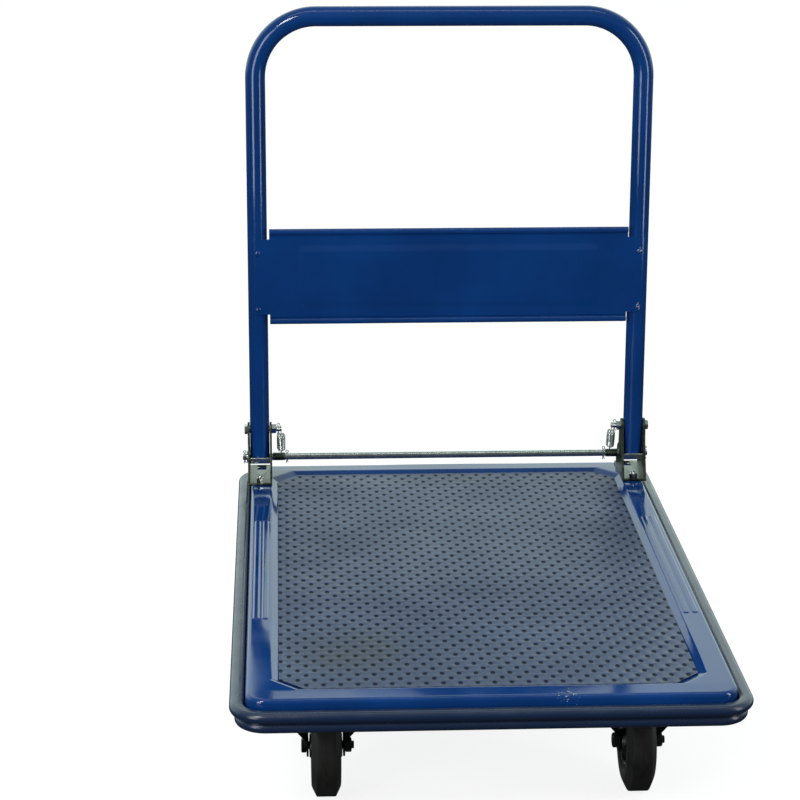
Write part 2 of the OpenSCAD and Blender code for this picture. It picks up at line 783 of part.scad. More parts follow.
module tyre() color(rubber) wheel_turn() {
  r = wheel_d / 2;
  side = wheel_w / 2;
  shoulder = (r - centre_r) * shoulder_share;
  half = [[centre_r, side - rim_in], [centre_r + lip_h, side - rim_in],
    [centre_r + lip_h + lip_w, side], [r - shoulder, side],
    [r - tread_edge[0], tread_w / 2 + tread_edge[1]], [r, tread_w / 2]];
  polygon(concat(half, [for (i = [5 : -1 : 0]) [half[i][0], -half[i][1]]]));
}

module wheel_centre() color(plastic) wheel_turn() {
  side = wheel_w / 2 - rim_in;
  rim = centre_r - seat_gap;
  bore = axle_bush_d / 2 + seat_gap;
  boss = bore + boss_wall;
  half = [[bore, hub_w / 2], [boss, hub_w / 2], [boss + web_slope, web_half],
    [rim - rim_wall - web_slope, web_half], [rim - rim_wall, side], [rim, side]];
  polygon(concat(half, [for (i = [5 : -1 : 0]) [half[i][0], -half[i][1]]]));
}

module wheel_bush() color(brass) wheel_turn()
  translate([axle_d / 2 + run_gap, -hub_w / 2 - bush_out])
    square([(axle_bush_d - axle_d) / 2 - run_gap, hub_w + 2 * bush_out]);

deck_pan();
deck_mat();
bumper();
cross_channel(-1);  // cross_channel_front
cross_channel(1);  // cross_channel_rear
stringers();
hinge_bracket(left);  // hinge_bracket_left
hinge_bracket(right);  // hinge_bracket_right
stop_bars();
hinge_base_bolts();
hinge_base_nuts();
pivot_bolts();
pivot_nuts();
pivot_split_pins();
spring(left);  // spring_left
spring(right);  // spring_right
caster_plate_bolts();
caster_plate_nuts();
rigid_fork(left);  // rigid_fork_left
rigid_fork(right);  // rigid_fork_right
front_axle_bolts();
front_axle_nuts();
swivel_plate(left);  // swivel_plate_left
swivel_plate(right);  // swivel_plate_right
king_pins();
handle_tube();
back_panel();
panel_rivets();
pivot_bushes();
foot_rod();
rod_sleeves();
rod_washers();
rod_split_pins();
swivel_fork(left);  // swivel_fork_left
swivel_fork(right);  // swivel_fork_right
race_balls(left);  // race_balls_left
race_balls(right);  // race_balls_right
rear_axle_bolt(left);  // rear_axle_bolt_left
rear_axle_bolt(right);  // rear_axle_bolt_right
rear_axle_nut(left);  // rear_axle_nut_left
rear_axle_nut(right);  // rear_axle_nut_right
at_front_wheel(left) tyre();  // front_tyre_left
at_front_wheel(right) tyre();  // front_tyre_right
at_rear_wheel(left) tyre();  // rear_tyre_left
at_rear_wheel(right) tyre();  // rear_tyre_right
at_front_wheel(left) wheel_centre();  // front_centre_left
at_front_wheel(right) wheel_centre();  // front_centre_right
at_rear_wheel(left) wheel_centre();  // rear_centre_left
at_rear_wheel(right) wheel_centre();  // rear_centre_right
at_front_wheel(left) wheel_bush();  // front_bush_left
at_front_wheel(right) wheel_bush();  // front_bush_right
at_rear_wheel(left) wheel_bush();  // rear_bush_left
at_rear_wheel(right) wheel_bush();  // rear_bush_right
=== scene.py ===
# %% [markdown]
# # A folding platform cart
#
# The cart is a pressed steel deck on four casters, with a tube handle that folds down over it.
# The CAD model comes in first as a frame. It fixes every size, every place and every joint, and
# this lesson dresses it: sheet metal gets its pressed edges, the mat its dimples, the springs
# their turns of wire, and each finish its own colour, gloss and wear.

# %% Load the frame
import contextlib
import itertools
import math

import bmesh
import bpy
from mathutils import Matrix, Vector


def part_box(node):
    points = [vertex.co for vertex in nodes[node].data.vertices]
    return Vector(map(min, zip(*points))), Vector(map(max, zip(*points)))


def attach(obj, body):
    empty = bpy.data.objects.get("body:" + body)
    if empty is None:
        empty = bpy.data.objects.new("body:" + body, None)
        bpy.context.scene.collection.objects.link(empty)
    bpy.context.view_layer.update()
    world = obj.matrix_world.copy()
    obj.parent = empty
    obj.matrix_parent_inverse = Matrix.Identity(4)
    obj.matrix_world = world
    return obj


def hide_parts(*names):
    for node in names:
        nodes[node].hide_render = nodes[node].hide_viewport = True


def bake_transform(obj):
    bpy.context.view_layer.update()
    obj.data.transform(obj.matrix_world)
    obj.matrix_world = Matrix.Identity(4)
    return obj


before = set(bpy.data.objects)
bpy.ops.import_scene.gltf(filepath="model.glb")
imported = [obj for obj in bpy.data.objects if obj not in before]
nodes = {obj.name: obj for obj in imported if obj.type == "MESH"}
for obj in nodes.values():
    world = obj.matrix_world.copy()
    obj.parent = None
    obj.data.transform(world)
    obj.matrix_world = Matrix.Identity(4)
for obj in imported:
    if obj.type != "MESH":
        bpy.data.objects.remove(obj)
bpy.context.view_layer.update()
SIDES = {"left": -1, "right": 1}
BOTH, UP = (-1, 1), (0, 0, 1)

# %% [markdown]
# ## The camera
#
# A long lens from three metres away keeps the deck's sides nearly parallel. The camera stands a
# little left of the middle and looks down on the deck by sixteen degrees.


# %% Camera
def put(name, data):
    """A new object that holds the data given, in the scene."""
    obj = bpy.data.objects.new(name, data)
    bpy.context.scene.collection.objects.link(obj)
    return obj


CAMERA_AT = (-0.2394, -3.0304, 1.3013)
TURN_RIGHT, TILT_DOWN, LEAN = 0.05007, 0.28292, 0.0035
camera = put("camera", bpy.data.cameras.new("camera"))
camera.data.lens, camera.data.sensor_width = 109.88, 36.0
camera.data.clip_end = 60.0
camera.location = CAMERA_AT
camera.rotation_euler = (Matrix.Rotation(-TURN_RIGHT, 3, "Z")
                         @ Matrix.Rotation(math.pi / 2 - TILT_DOWN, 3, "X")
                         @ Matrix.Rotation(LEAN, 3, "Z")).to_euler()
bpy.context.scene.camera = camera
print("camera", [round(c, 3) for c in CAMERA_AT])

# %% [markdown]
# ## Helpers for node trees
#
# Colours are picked as sRGB hex values, as in any paint program, and shaders want linear ones, so
# one function converts them. One more adds a node to a tree, sets it up and links it, and five
# short ones use it for the steps that every finish repeats.


# %% Colours and nodes
def linear(hex_colour):
    """An sRGB hex colour as the linear RGBA that a shader wants."""
    parts = [int(hex_colour[i:i + 2], 16) / 255 for i in (1, 3, 5)]
    return [c / 12.92 if c <= 0.04045 else ((c + 0.055) / 1.055) ** 2.4 for c in parts] + [1.0]


def add(tree, kind, inputs=None, **settings):
    """Adds a node. A socket given as an input is linked, and any other value is set."""
    node = tree.nodes.new(kind)
    for key, value in settings.items():
        setattr(node, key, value)
    for key, value in (inputs or {}).items():
        if isinstance(value, bpy.types.NodeSocket):
            tree.links.new(value, node.inputs[key])
        else:
            node.inputs[key].default_value = value
    return node


def sum_of(tree, operation, first, second=0.5):
    """One step of arithmetic on two values."""
    return add(tree, "ShaderNodeMath", {0: first, 1: second}, operation=operation).outputs[0]


def spread(tree, value, low, high, to_low=0.0, to_high=1.0, **settings):
    """The range from low to high spread over another range, and held at its ends."""
    return add(tree, "ShaderNodeMapRange", {0: value, 1: low, 2: high, 3: to_low, 4: to_high},
               **settings).outputs[0]


def between(tree, share, first, second):
    """A colour between two, each one a hex value or another node's colour."""
    ends = [linear(c) if isinstance(c, str) else c for c in (first, second)]
    return add(tree, "ShaderNodeMix", {0: share, 6: ends[0], 7: ends[1]},
               data_type="RGBA").outputs[2]


def noise(tree, place, scale, detail, **more):
    """A noise of so many features to the metre."""
    return add(tree, "ShaderNodeTexNoise", {"Vector": place, "Scale": scale, "Detail": detail,
                                            **more}).outputs[0]


def bump(tree, height, strength, full_depth, **more):
    """A normal tilted by a height map of so many metres' full depth."""
    return add(tree, "ShaderNodeBump", {"Height": height, "Strength": strength,
                                        "Distance": full_depth, **more}).outputs[0]


ENAMEL = "#0a3878"
print("blue enamel in linear light:", [round(c, 3) for c in linear(ENAMEL)])

# %% [markdown]
# ## Floor, daylight and soft boxes
#
# The cart stands in a white studio. The room is bright behind and above the cart and dark on the
# camera's side, which is why level steel shines while upright steel stays deep blue. The world's
# light is therefore a gradient along Y and Z. The floor is a backdrop: it glows a little so that
# it stays white beside the cart, takes a soft shadow, and sends no light back into the paint.

# %% Floor and world
FLOOR_SIZE, PAPER_GLOW = 30.0, 0.86
floor_mesh = bpy.data.meshes.new("studio_floor")
half_floor = FLOOR_SIZE / 2
floor_mesh.from_pydata([(x * half_floor, y * half_floor, 0)
                        for x, y in ((-1, -1), (1, -1), (1, 1), (-1, 1))], [], [(0, 1, 2, 3)])
floor = put("studio_floor", floor_mesh)
paper = bpy.data.materials.new("white studio paper")
paper.use_nodes = True
for socket, value in {"Base Color": linear("#8c8c8c"), "Roughness": 0.9,
                      "Emission Color": linear("#ffffff"), "Emission Strength": PAPER_GLOW,
                      "Specular IOR Level": 0.1}.items():
    paper.node_tree.nodes["Principled BSDF"].inputs[socket].default_value = value
floor_mesh.materials.append(paper)
floor.visible_glossy = False
floor.visible_diffuse = False

BACK_LIGHT, FRONT_LIGHT, TOP_LIGHT, GROUND_LIGHT = 1.4, 0.14, 0.35, 0.05
world = bpy.data.worlds.new("white studio")
bpy.context.scene.world = world
world.use_nodes = True
sky = world.node_tree
sky.nodes.clear()
aim = add(sky, "ShaderNodeTexCoord").outputs["Generated"]
_, aim_y, aim_z = add(sky, "ShaderNodeSeparateXYZ", {0: aim}).outputs
smooth = {"interpolation_type": "SMOOTHSTEP"}
along = spread(sky, aim_y, -0.2, 0.6, FRONT_LIGHT, BACK_LIGHT, **smooth)
above = spread(sky, aim_z, 0.55, 0.92, **smooth)
below = spread(sky, aim_z, -0.2, 0.05, 1.0, 0.0, **smooth)
upper = add(sky, "ShaderNodeMix", {0: above, 2: along, 3: TOP_LIGHT}).outputs[0]
strength = add(sky, "ShaderNodeMix", {0: below, 2: upper, 3: GROUND_LIGHT}).outputs[0]
lit = add(sky, "ShaderNodeBackground", {"Color": linear("#ecfff9"), "Strength": strength})
seen = add(sky, "ShaderNodeBackground", {"Color": linear("#ffffff"), "Strength": 1.0})
by_eye = add(sky, "ShaderNodeLightPath").outputs["Is Camera Ray"]
both = add(sky, "ShaderNodeMixShader", {0: by_eye, 1: lit.outputs[0], 2: seen.outputs[0]})
add(sky, "ShaderNodeOutputWorld", {0: both.outputs[0]})
bpy.context.scene.view_settings.view_transform = "Standard"


# %% Soft boxes
def soft_box(name, at, aim_at, size, power):
    """A rectangular lamp that lights and shines in the paint but can't be seen itself."""
    lamp = bpy.data.lights.new(name, "AREA")
    lamp.shape, lamp.size, lamp.size_y, lamp.energy = "RECTANGLE", size[0], size[1], power
    obj = put(name, lamp)
    obj.location = at
    obj.rotation_euler = (Vector(aim_at) - Vector(at)).to_track_quat("-Z", "Y").to_euler()
    obj.visible_camera = False


soft_box("front_box", (-1.5, -2.6, 2.9), (0, 0.1, 0.4), (0.8, 0.8), 46)
soft_box("overhead_strip", (0.0, -0.5, 3.0), (0, 0.1, 0.4), (2.6, 0.2), 6)
soft_box("left_window", (-1.67, -2.05, 1.0), (-1.0, -0.9, 1.0), (0.9, 1.9), 30)
soft_box("right_window", (1.9, -1.2, 1.0), (0.9, -0.2, 1.0), (0.5, 1.9), 18)
print("floor", FLOOR_SIZE, "m square, world", FRONT_LIGHT, "to", BACK_LIGHT)

# %% [markdown]
# ## Finishes
#
# Each finish starts from what the real one is and how it was made. They all read Object
# coordinates in metres, so a scale of 300 on a noise means features of about three millimetres.

# %% A finish's start
FINISH = {}
print("finishes read Object coordinates in metres")


def start_finish(slot, name, colour, roughness, metallic=0.0):
    """A material with a principled shader, and the place on the object that patterns read."""
    material = bpy.data.materials.new(name)
    material.use_nodes = True
    tree = material.node_tree
    tree.nodes.clear()
    shader = add(tree, "ShaderNodeBsdfPrincipled", {
        "Base Color": linear(colour), "Roughness": roughness, "Metallic": metallic})
    add(tree, "ShaderNodeOutputMaterial", {0: shader.outputs[0]})
    place = add(tree, "ShaderNodeTexCoord").outputs["Object"]
    FINISH[slot] = material
    print(name)
    return tree, shader, place


def plug(tree, shader, **sockets):
    """Links each value to the shader's socket of that name."""
    for name, value in sockets.items():
        tree.links.new(value, shader.inputs[name.replace("_", " ")])


def distance(tree, place, spot):
    """How far a place is from a spot on the object."""
    return add(tree, "ShaderNodeVectorMath", {0: place, 1: spot},
               operation="DISTANCE").outputs["Value"]


# %% [markdown]
# ### Blue enamel
#
# Powder coat baked on pressed steel: a saturated deep blue under a smooth glossy skin. To the eye
# that means a dark body colour, sharp reflections that grow at low angles, a faint orange peel of
# about three millimetres, and slow waves where the sheet was pressed. Handling has dulled it in
# patches, and a few chips show the grey primer near the rivets and along the front edge.

# %% Blue enamel
ORANGE_PEEL, SHEET_WAVE, SMUDGE, GRIT = 330.0, 14.0, 9.0, 420.0
KNOCKS = (((0.275, 0.360, 0.533), 0.012), ((0.275, 0.360, 0.451), 0.012),
          ((0.085, -0.437, 0.191), 0.03))
tree, shader, place = start_finish("blue_powder_coat", "glossy blue powder coat", ENAMEL, 0.1)
smudge = noise(tree, place, SMUDGE, 4.0)
dull = spread(tree, smudge, 0.45, 0.7, 0.07, 0.16)
body = between(tree, spread(tree, smudge, 0.3, 0.7), "#08336f", "#0b3d80")
# Chips: a fine noise cut high leaves small islands, kept only near the spots that get knocked
knocks = None
for spot, reach in KNOCKS:
    near = spread(tree, distance(tree, place, spot), 0.0, reach, 0.24, 0.0)
    knocks = near if knocks is None else sum_of(tree, "ADD", knocks, near)
chip = spread(tree, sum_of(tree, "ADD", noise(tree, place, GRIT, 3.0), knocks), 0.8, 0.815)
slow = bump(tree, noise(tree, place, SHEET_WAVE, 1.0), 0.15, 0.0012)
plug(tree, shader, Base_Color=between(tree, chip, body, "#a9adb2"),
     Roughness=add(tree, "ShaderNodeMix", {0: chip, 2: dull, 3: 0.6}).outputs[0],
     Normal=bump(tree, noise(tree, place, ORANGE_PEEL, 1.0), 0.12, 0.00012, Normal=slow))

# %% [markdown]
# ### Vinyl mat
#
# Soft PVC sheet, calendered against an embossed roll: slate blue, satin, with a fine leather
# grain. Shoes and boxes rub it paler in broad patches. In the dimples the colour is painted
# darker, and the sheen weaker, with depth below the mat's face: painted shade.

# %% Vinyl mat
MAT_TOP, DIMPLE_DEPTH, STAIN_AT = 0.1885, 0.0006, (-0.15, -0.29, 0.1885)
tree, shader, place = start_finish("vinyl_mat", "embossed PVC mat", "#33445f", 0.5)
broad = noise(tree, place, 5.0, 5.0, Roughness=0.6)
worn = spread(tree, broad, 0.35, 0.65)
face = between(tree, worn, "#26385a", "#35486a")
blotch = spread(tree, noise(tree, place, 160.0, 4.0), 0.4, 0.62, 0.0, 0.35)
speckled = between(tree, blotch, face, "#48486a")
height = add(tree, "ShaderNodeSeparateXYZ", {0: place}).outputs["Z"]
# Painted shade: the colour darkens with depth in the dimples, and the sheen fades there too
depth = spread(tree, height, MAT_TOP - 0.00002, MAT_TOP - DIMPLE_DEPTH * 0.45)
dimple_shade_painted = between(tree, depth, speckled, "#0d1730")
stain = spread(tree, distance(tree, place, STAIN_AT), 0.02, 0.11, 0.75, 0.0, **smooth)
stain_and_dimple_shade = between(tree, sum_of(tree, "MULTIPLY", stain, worn), dimple_shade_painted, "#1f2422")
grain = add(tree, "ShaderNodeTexVoronoi", {"Vector": place, "Scale": 700.0}).outputs[0]
plug(tree, shader, Base_Color=stain_and_dimple_shade,
     Specular_IOR_Level=spread(tree, depth, 0.0, 1.0, 0.3, 0.05),
     Roughness=spread(tree, broad, 0.3, 0.7, 0.46, 0.34),
     Normal=bump(tree, grain, 0.25, 0.0002))

# %% [markdown]
# ### PVC bumper
#
# Extruded soft PVC in navy: smooth, semi-gloss, a little hazy, with grey dust on what faces up.

# %% PVC bumper
tree, shader, place = start_finish("pvc_bumper", "extruded navy PVC", "#1a2b4c", 0.25)
facing = add(tree, "ShaderNodeSeparateXYZ", {
    0: add(tree, "ShaderNodeNewGeometry").outputs["Normal"]}).outputs["Z"]
cloud = noise(tree, place, 26.0, 5.0)
settled = sum_of(tree, "MULTIPLY", spread(tree, facing, 0.3, 1.0, 0.0, 0.1), cloud)
plug(tree, shader, Base_Color=between(tree, settled, "#182846", "#868c94"),
     Roughness=spread(tree, cloud, 0.35, 0.7, 0.18, 0.32),
     Normal=bump(tree, noise(tree, place, 60.0, 2.0), 0.12, 0.0004))

# %% [markdown]
# ### Plated steels
#
# Three platings share one build: a metal whose roughness and tone wander over small crystals.
# The brackets are dull zinc with a greenish passivation, the rod and fasteners are bright zinc,
# and the casters are black zinc, which is nearly black and satin.

# %% Plated steels
PLATED = {"detail": 5.0, "crumble": 0.5, "tones": (0.35, 0.65), "pores": 600.0, "depth": 0.06}
MOULDED = {"detail": 6.0, "crumble": 0.65, "tones": (0.4, 0.7), "pores": 900.0, "depth": 0.3}


def mottled(kind, slot, name, dark, pale, rough_low, rough_high, metal, patch):
    """A finish whose tone and gloss wander together over patches, with fine pores on top."""
    tree, shader, place = start_finish(slot, name, dark, rough_low, metal)
    field = noise(tree, place, patch, kind["detail"], Roughness=kind["crumble"])
    plug(tree, shader, Base_Color=between(tree, spread(tree, field, *kind["tones"]), dark, pale),
         Roughness=spread(tree, field, 0.3, 0.7, rough_low, rough_high),
         Normal=bump(tree, noise(tree, place, kind["pores"], 2.0), kind["depth"], 0.0001))


mottled(PLATED, "zinc_plate", "dull passivated zinc", "#3e453d", "#5f655b", 0.26, 0.4, 1.0, 150.0)
mottled(PLATED, "bright_zinc", "bright zinc plate", "#c3c7c5", "#dcdfde", 0.1, 0.16, 1.0, 90.0)
mottled(PLATED, "black_zinc", "black zinc on pressed steel", "#0e0f10", "#1b1b1c", 0.3, 0.5, 0.35,
        110.0)

# %% [markdown]
# ### Wheels and bushes
#
# Solid rubber tyres are matt, warm black and grey where they roll; the centres are moulded
# polypropylene, a little glossier; the bushes are sintered bronze.

# %% Wheels and bushes
mottled(MOULDED, "wheel_rubber", "solid black rubber", "#121210", "#201f1d", 0.5, 0.75, 0.0, 45.0)
mottled(MOULDED, "wheel_plastic", "black moulded polypropylene", "#101011", "#1a1a1b", 0.34, 0.48,
        0.0, 60.0)
mottled(MOULDED, "bush_metal", "sintered bronze", "#5c4a30", "#7c6542", 0.32, 0.5, 1.0, 200.0)

# %% [markdown]
# ## Helpers for meshes
#
# Sizes are in millimetres, as a maker would give them, and turn to metres in one place. Most
# pieces are lofts: rings of points with faces between them. A ring can close on itself, and so
# can the row of rings.


# %% Lofts, spins and finishing
@contextlib.contextmanager
def editing(mesh):
    """Opens a mesh for editing, and writes it back at the end of the block."""
    bm = bmesh.new()
    bm.from_mesh(mesh)
    yield bm
    bm.to_mesh(mesh)
    bm.free()


def weld(bm):
    """Joins points that lie in one place."""
    bmesh.ops.remove_doubles(bm, verts=bm.verts, dist=2e-6)


def new_piece(name, verts, faces):
    """An object at the origin from millimetre coordinates, its faces outwards."""
    mesh = bpy.data.meshes.new(name)
    mesh.from_pydata([Vector(v) / 1000 for v in verts], [], faces)
    with editing(mesh) as bm:
        weld(bm)
        bmesh.ops.dissolve_degenerate(bm, dist=1e-7, edges=bm.edges)
        bmesh.ops.recalc_face_normals(bm, faces=bm.faces)
    return put(name, mesh)


def loft(rings, round_ring=True, round_rows=False, caps=False):
    """Points and faces that join rings of equally many points."""
    size, rows = len(rings[0]), len(rings)
    verts = [p for ring in rings for p in ring]
    faces = [(i * size + j, i * size + (j + 1) % size,
              (i + 1) % rows * size + (j + 1) % size, (i + 1) % rows * size + j)
             for i in range(rows if round_rows else rows - 1)
             for j in range(size if round_ring else size - 1)]
    if caps:
        faces += [tuple(range(size))[::-1], tuple(range((rows - 1) * size, rows * size))]
    return verts, faces


def spin(profile, steps=48, closed=False):
    """A surface of revolution about Z from (radius, height) pairs."""
    rings = [[(r * math.cos(a), r * math.sin(a), z) for r, z in profile] for a in around(steps)]
    return loft(rings, round_ring=closed, round_rows=True)


def merge(*shells):
    """One list of points and one of faces from several shells."""
    verts, faces = [], []
    for some_verts, some_faces in shells:
        faces += [tuple(i + len(verts) for i in face) for face in some_faces]
        verts += some_verts
    return verts, faces


def arc(centre, radius, start, end, steps):
    """Points on an arc in a plane, by angles in degrees."""
    angles = [math.radians(start + (end - start) * i / steps) for i in range(steps + 1)]
    return [(centre[0] + radius * math.cos(a), centre[1] + radius * math.sin(a)) for a in angles]


def around(count):
    """Angles evenly spaced round a circle."""
    return [2 * math.pi * i / count for i in range(count)]


def ease(t):
    """A smooth step from 0 to 1."""
    t = max(0.0, min(1.0, t))
    return t * t * (3 - 2 * t)


def bake(obj):
    """Turns an object's modifiers into plain mesh."""
    bpy.context.view_layer.update()
    graph = bpy.context.evaluated_depsgraph_get()
    mesh = bpy.data.meshes.new_from_object(obj.evaluated_get(graph))
    obj.modifiers.clear()
    obj.data = mesh
    return obj


def modify(obj, kind, **settings):
    """Adds a modifier with its settings and bakes it."""
    modifier = obj.modifiers.new(kind.lower(), kind)
    for key, value in settings.items():
        setattr(modifier, key, value)
    return bake(obj)


def coat(obj, slot):
    """Gives a piece its finish, shaded smooth."""
    obj.data.materials.clear()
    obj.data.materials.append(FINISH[slot])
    obj.data.shade_smooth()


def fit(obj, body, slot, node, sharp=35):
    """Finishes a piece: its coat, its sharp creases, its body and the node it replaces."""
    coat(obj, slot)
    obj.data.set_sharp_from_angle(angle=math.radians(sharp))
    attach(obj, body)
    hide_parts(node)
    print(f"{obj.name}: {len(obj.data.polygons)} faces on {body}")
    return obj


# %% [markdown]
# ## The deck pan
#
# One steel sheet, pressed: a deep skirt, a rolled top edge, a flat border with two ribs pressed
# up along each side, and a recess with cut-off corners for the mat. It could be cut from solid
# boxes, but a pressing has no sharp edges, so here it is a loft from the skirt's lower edge
# inwards. Each ring has the same stations round the deck, crowded where a rib ends, and the
# sheet gets its thickness last.

# %% Stations round the deck
DECK_Z, FLOOR_Z, SHEET = 192.0, 187.0, 1.5
PAN_X, PAN_Y, PAN_R, EDGE_R, SKIRT = 286.0, 441.0, 24.0, 5.0, 36.0
RECESS_X, RECESS_Y, RECESS_CUT, SLOPE = 256.5, 411.5, 31.0, 9.0
RIB_X, RIB_GAP, RIB_W, RIB_L, RIB_H = 269.55, 11.2, 8.6, 375.0, 1.2
CORNER_STEPS, SOFTENED, SHARED_TO = 12, 0.5, 230
rib_end = [RIB_L / 2 - 6 + 0.7 * i for i in range(11)]
half_long = [0, 60, 120, 165] + rib_end + [200, 215, 230, 290, 350]
LONG = [-y for y in half_long[:0:-1]] + half_long


def deck_ring(half_x, half_y, corner):
    """A ring round the deck; corner(i) gives point i of the corner at +X +Y, and the straight
    sides keep the common stations up to SHARED_TO and stretch beyond."""
    end_x, end_y = corner(CORNER_STEPS)[0], corner(0)[1]

    def along_side(y):
        beyond = abs(y) - SHARED_TO
        stretch = (end_y - SHARED_TO) / (PAN_Y - PAN_R - SHARED_TO)
        return y if beyond <= 0 else math.copysign(SHARED_TO + beyond * stretch, y)

    turn = [corner(i) for i in range(CORNER_STEPS + 1)]
    across = [x * end_x / (PAN_X - PAN_R) for x in range(-200, 201, 50)]
    ring = [(half_x, along_side(y)) for y in LONG] + turn
    ring += [(x, half_y) for x in across[::-1]]
    ring += [(-x, y) for x, y in turn[::-1]]
    ring += [(-half_x, along_side(y)) for y in LONG[::-1]] + [(-x, -y) for x, y in turn]
    ring += [(x, -half_y) for x in across] + [(x, -y) for x, y in turn[::-1]]
    return ring


def skirt_ring(inset):
    """The rounded outline of the pan, moved in by inset."""
    def corner(i):
        angle = math.pi / 2 * i / CORNER_STEPS
        return (PAN_X - PAN_R + (PAN_R - inset) * math.cos(angle),
                PAN_Y - PAN_R + (PAN_R - inset) * math.sin(angle))
    return deck_ring(PAN_X - inset, PAN_Y - inset, corner)


def recess_ring(inset):
    """The outline of the recess with its cut corners, moved in by inset; bends are softened."""
    x, y = RECESS_X - inset, RECESS_Y - inset
    cut = RECESS_CUT - inset * (RECESS_CUT - 30) / SLOPE

    def corner(i):
        part = i / CORNER_STEPS
        to_end = min(part, 1 - part)
        bend = math.sin(math.pi * to_end * 2) if to_end < 0.25 else 1
        t = max(0, min(1, (part - 0.12) / 0.76))
        pulled = SOFTENED * (1 - bend)
        return x - cut * t - pulled, y - cut * (1 - t) - pulled
    return deck_ring(x, y, corner)


print("stations round the deck:", len(skirt_ring(0)), len(recess_ring(0)))


# %% Press the pan
def rib_height(x, y):
    """How far the sheet is pressed up at a place on the border."""
    best = 0.0
    for middle in (RIB_X - RIB_GAP / 2, RIB_X + RIB_GAP / 2):
        beyond = max(0.0, abs(y) - (RIB_L - RIB_W) / 2)
        away = RIB_W / 2 - math.hypot(abs(x) - middle, beyond)
        best = max(best, RIB_H * ease(away / 1.9))
    return best


def camber(x, y):
    """How far the border sinks: towards the recess beside the ribs, and towards the skirt near
    the corners of the two ends."""
    side = 0.75 * ease((260 - abs(y)) / 60) * max(0.0, min(1.0, (281 - abs(x)) / 23))
    end = (0.1 + 0.5 * ease((abs(x) - 40) / 70)) * max(0.0, min(1.0, (abs(y) - 413) / 23))
    return side + end


rings = [[(x, y, DECK_Z - SKIRT + z) for x, y in skirt_ring(0)] for z in (0, 4, 28)]
for angle in range(0, 91, 15):
    a = math.radians(angle)
    inset, drop = EDGE_R * (1 - math.cos(a)), EDGE_R * (1 - math.sin(a))
    rings.append([(x, y, DECK_Z - drop - camber(x, y)) for x, y in skirt_ring(inset)])
BORDER_STEPS = 46
start, stop = skirt_ring(EDGE_R), recess_ring(-1.5)
for i in range(1, BORDER_STEPS + 1):
    t = i / BORDER_STEPS
    level = [(a[0] + (b[0] - a[0]) * t, a[1] + (b[1] - a[1]) * t) for a, b in zip(start, stop)]
    rings.append([(x, y, DECK_Z + rib_height(x, y) - camber(x, y)) for x, y in level])
for inset, drop in ((0, 0.2), (1, 0.6), (2, 1.1), (4.5, 2.5), (7, 3.9), (8, 4.45), (9, 4.85),
                    (10.5, 5.0), (13, 5.0)):
    rings.append([(x, y, DECK_Z - drop - camber(x, y) * (1 - drop / 5))
                  for x, y in recess_ring(inset)])
verts, faces = loft(rings)
ring_size = len(rings[0])
faces.append(tuple(range(len(verts) - ring_size, len(verts))))
pan = new_piece("deck_pan_pressed", verts, faces)
if pan.data.polygons[-1].normal.z < 0:
    pan.data.flip_normals()
modify(pan, "SOLIDIFY", thickness=SHEET / 1000, offset=-1.0)
fit(pan, "deck", "blue_powder_coat", "deck_pan", sharp=50)

# %% [markdown]
# ## The mat
#
# The embossing repeats, so one tile is enough: a 20 by 14.5 mm rectangle of mat with an oval
# dimple in it. Geometry Nodes lay the tiles in rows, every other row moved by half a tile, and
# weld them. The sheet is then trimmed to the recess like a real one, and gets its edge.

# %% One tile of mat
TILE_X, TILE_Y = 20.0, 14.5
OVAL_X, OVAL_Y = 3.5, 5.4
BOWL = ((1.0, 0.0), (0.86, 0.28), (0.5, 0.55))
tile_edge = [(x, -TILE_Y / 2) for x in (-10, -5, 0, 5)] + [(10, -TILE_Y / 2), (10, 0)]
tile_edge += [(-x, -y) for x, y in tile_edge]
bowl_angles = [math.atan2(y / TILE_Y, x / TILE_X) for x, y in tile_edge]
tile_rings = [[(x, y, 0) for x, y in tile_edge]]
for share, drop in BOWL:
    tile_rings.append([(OVAL_X * share * math.cos(a), OVAL_Y * share * math.sin(a), -drop)
                       for a in bowl_angles])
verts, faces = loft(tile_rings)
verts.append((0, 0, -DIMPLE_DEPTH * 1000))
corners = len(tile_edge)
last = corners * len(BOWL)
faces += [(last + i, last + (i + 1) % corners, last + corners) for i in range(corners)]
tile = new_piece("mat_tile", verts, faces)
if tile.data.polygons[0].normal.z < 0:
    tile.data.flip_normals()
print("tile:", len(tile.data.polygons), "faces")


# %% Nodes that lay tiles
def start_nodes(name, sockets):
    """A Geometry Nodes tree with a mesh in, a mesh out and named inputs."""
    tree = bpy.data.node_groups.new(name, "GeometryNodeTree")
    for label, kind in [("Mesh", "Geometry")] + sockets:
        tree.interface.new_socket(label, in_out="INPUT", socket_type="NodeSocket" + kind)
    tree.interface.new_socket("Mesh", in_out="OUTPUT", socket_type="NodeSocketGeometry")
    given = add(tree, "NodeGroupInput").outputs
    return tree, given


def end_nodes(tree, geometry, material):
    """Every tree ends the same way: real geometry, its material, and out."""
    real = add(tree, "GeometryNodeRealizeInstances", {0: geometry})
    dressed = add(tree, "GeometryNodeSetMaterial", {0: real.outputs[0], "Material": material})
    add(tree, "NodeGroupOutput", {0: dressed.outputs[0]})


def run_nodes(obj, tree, **values):
    """Runs a tree on an object with its inputs set, and keeps the result as plain mesh."""
    modifier = obj.modifiers.new(tree.name, "NODES")
    modifier.node_group = tree
    ids = {s.name: s.identifier for s in tree.interface.items_tree if s.in_out == "INPUT"}
    for label, value in values.items():
        modifier[ids[label.replace("_", " ")]] = value
    return bake(obj)


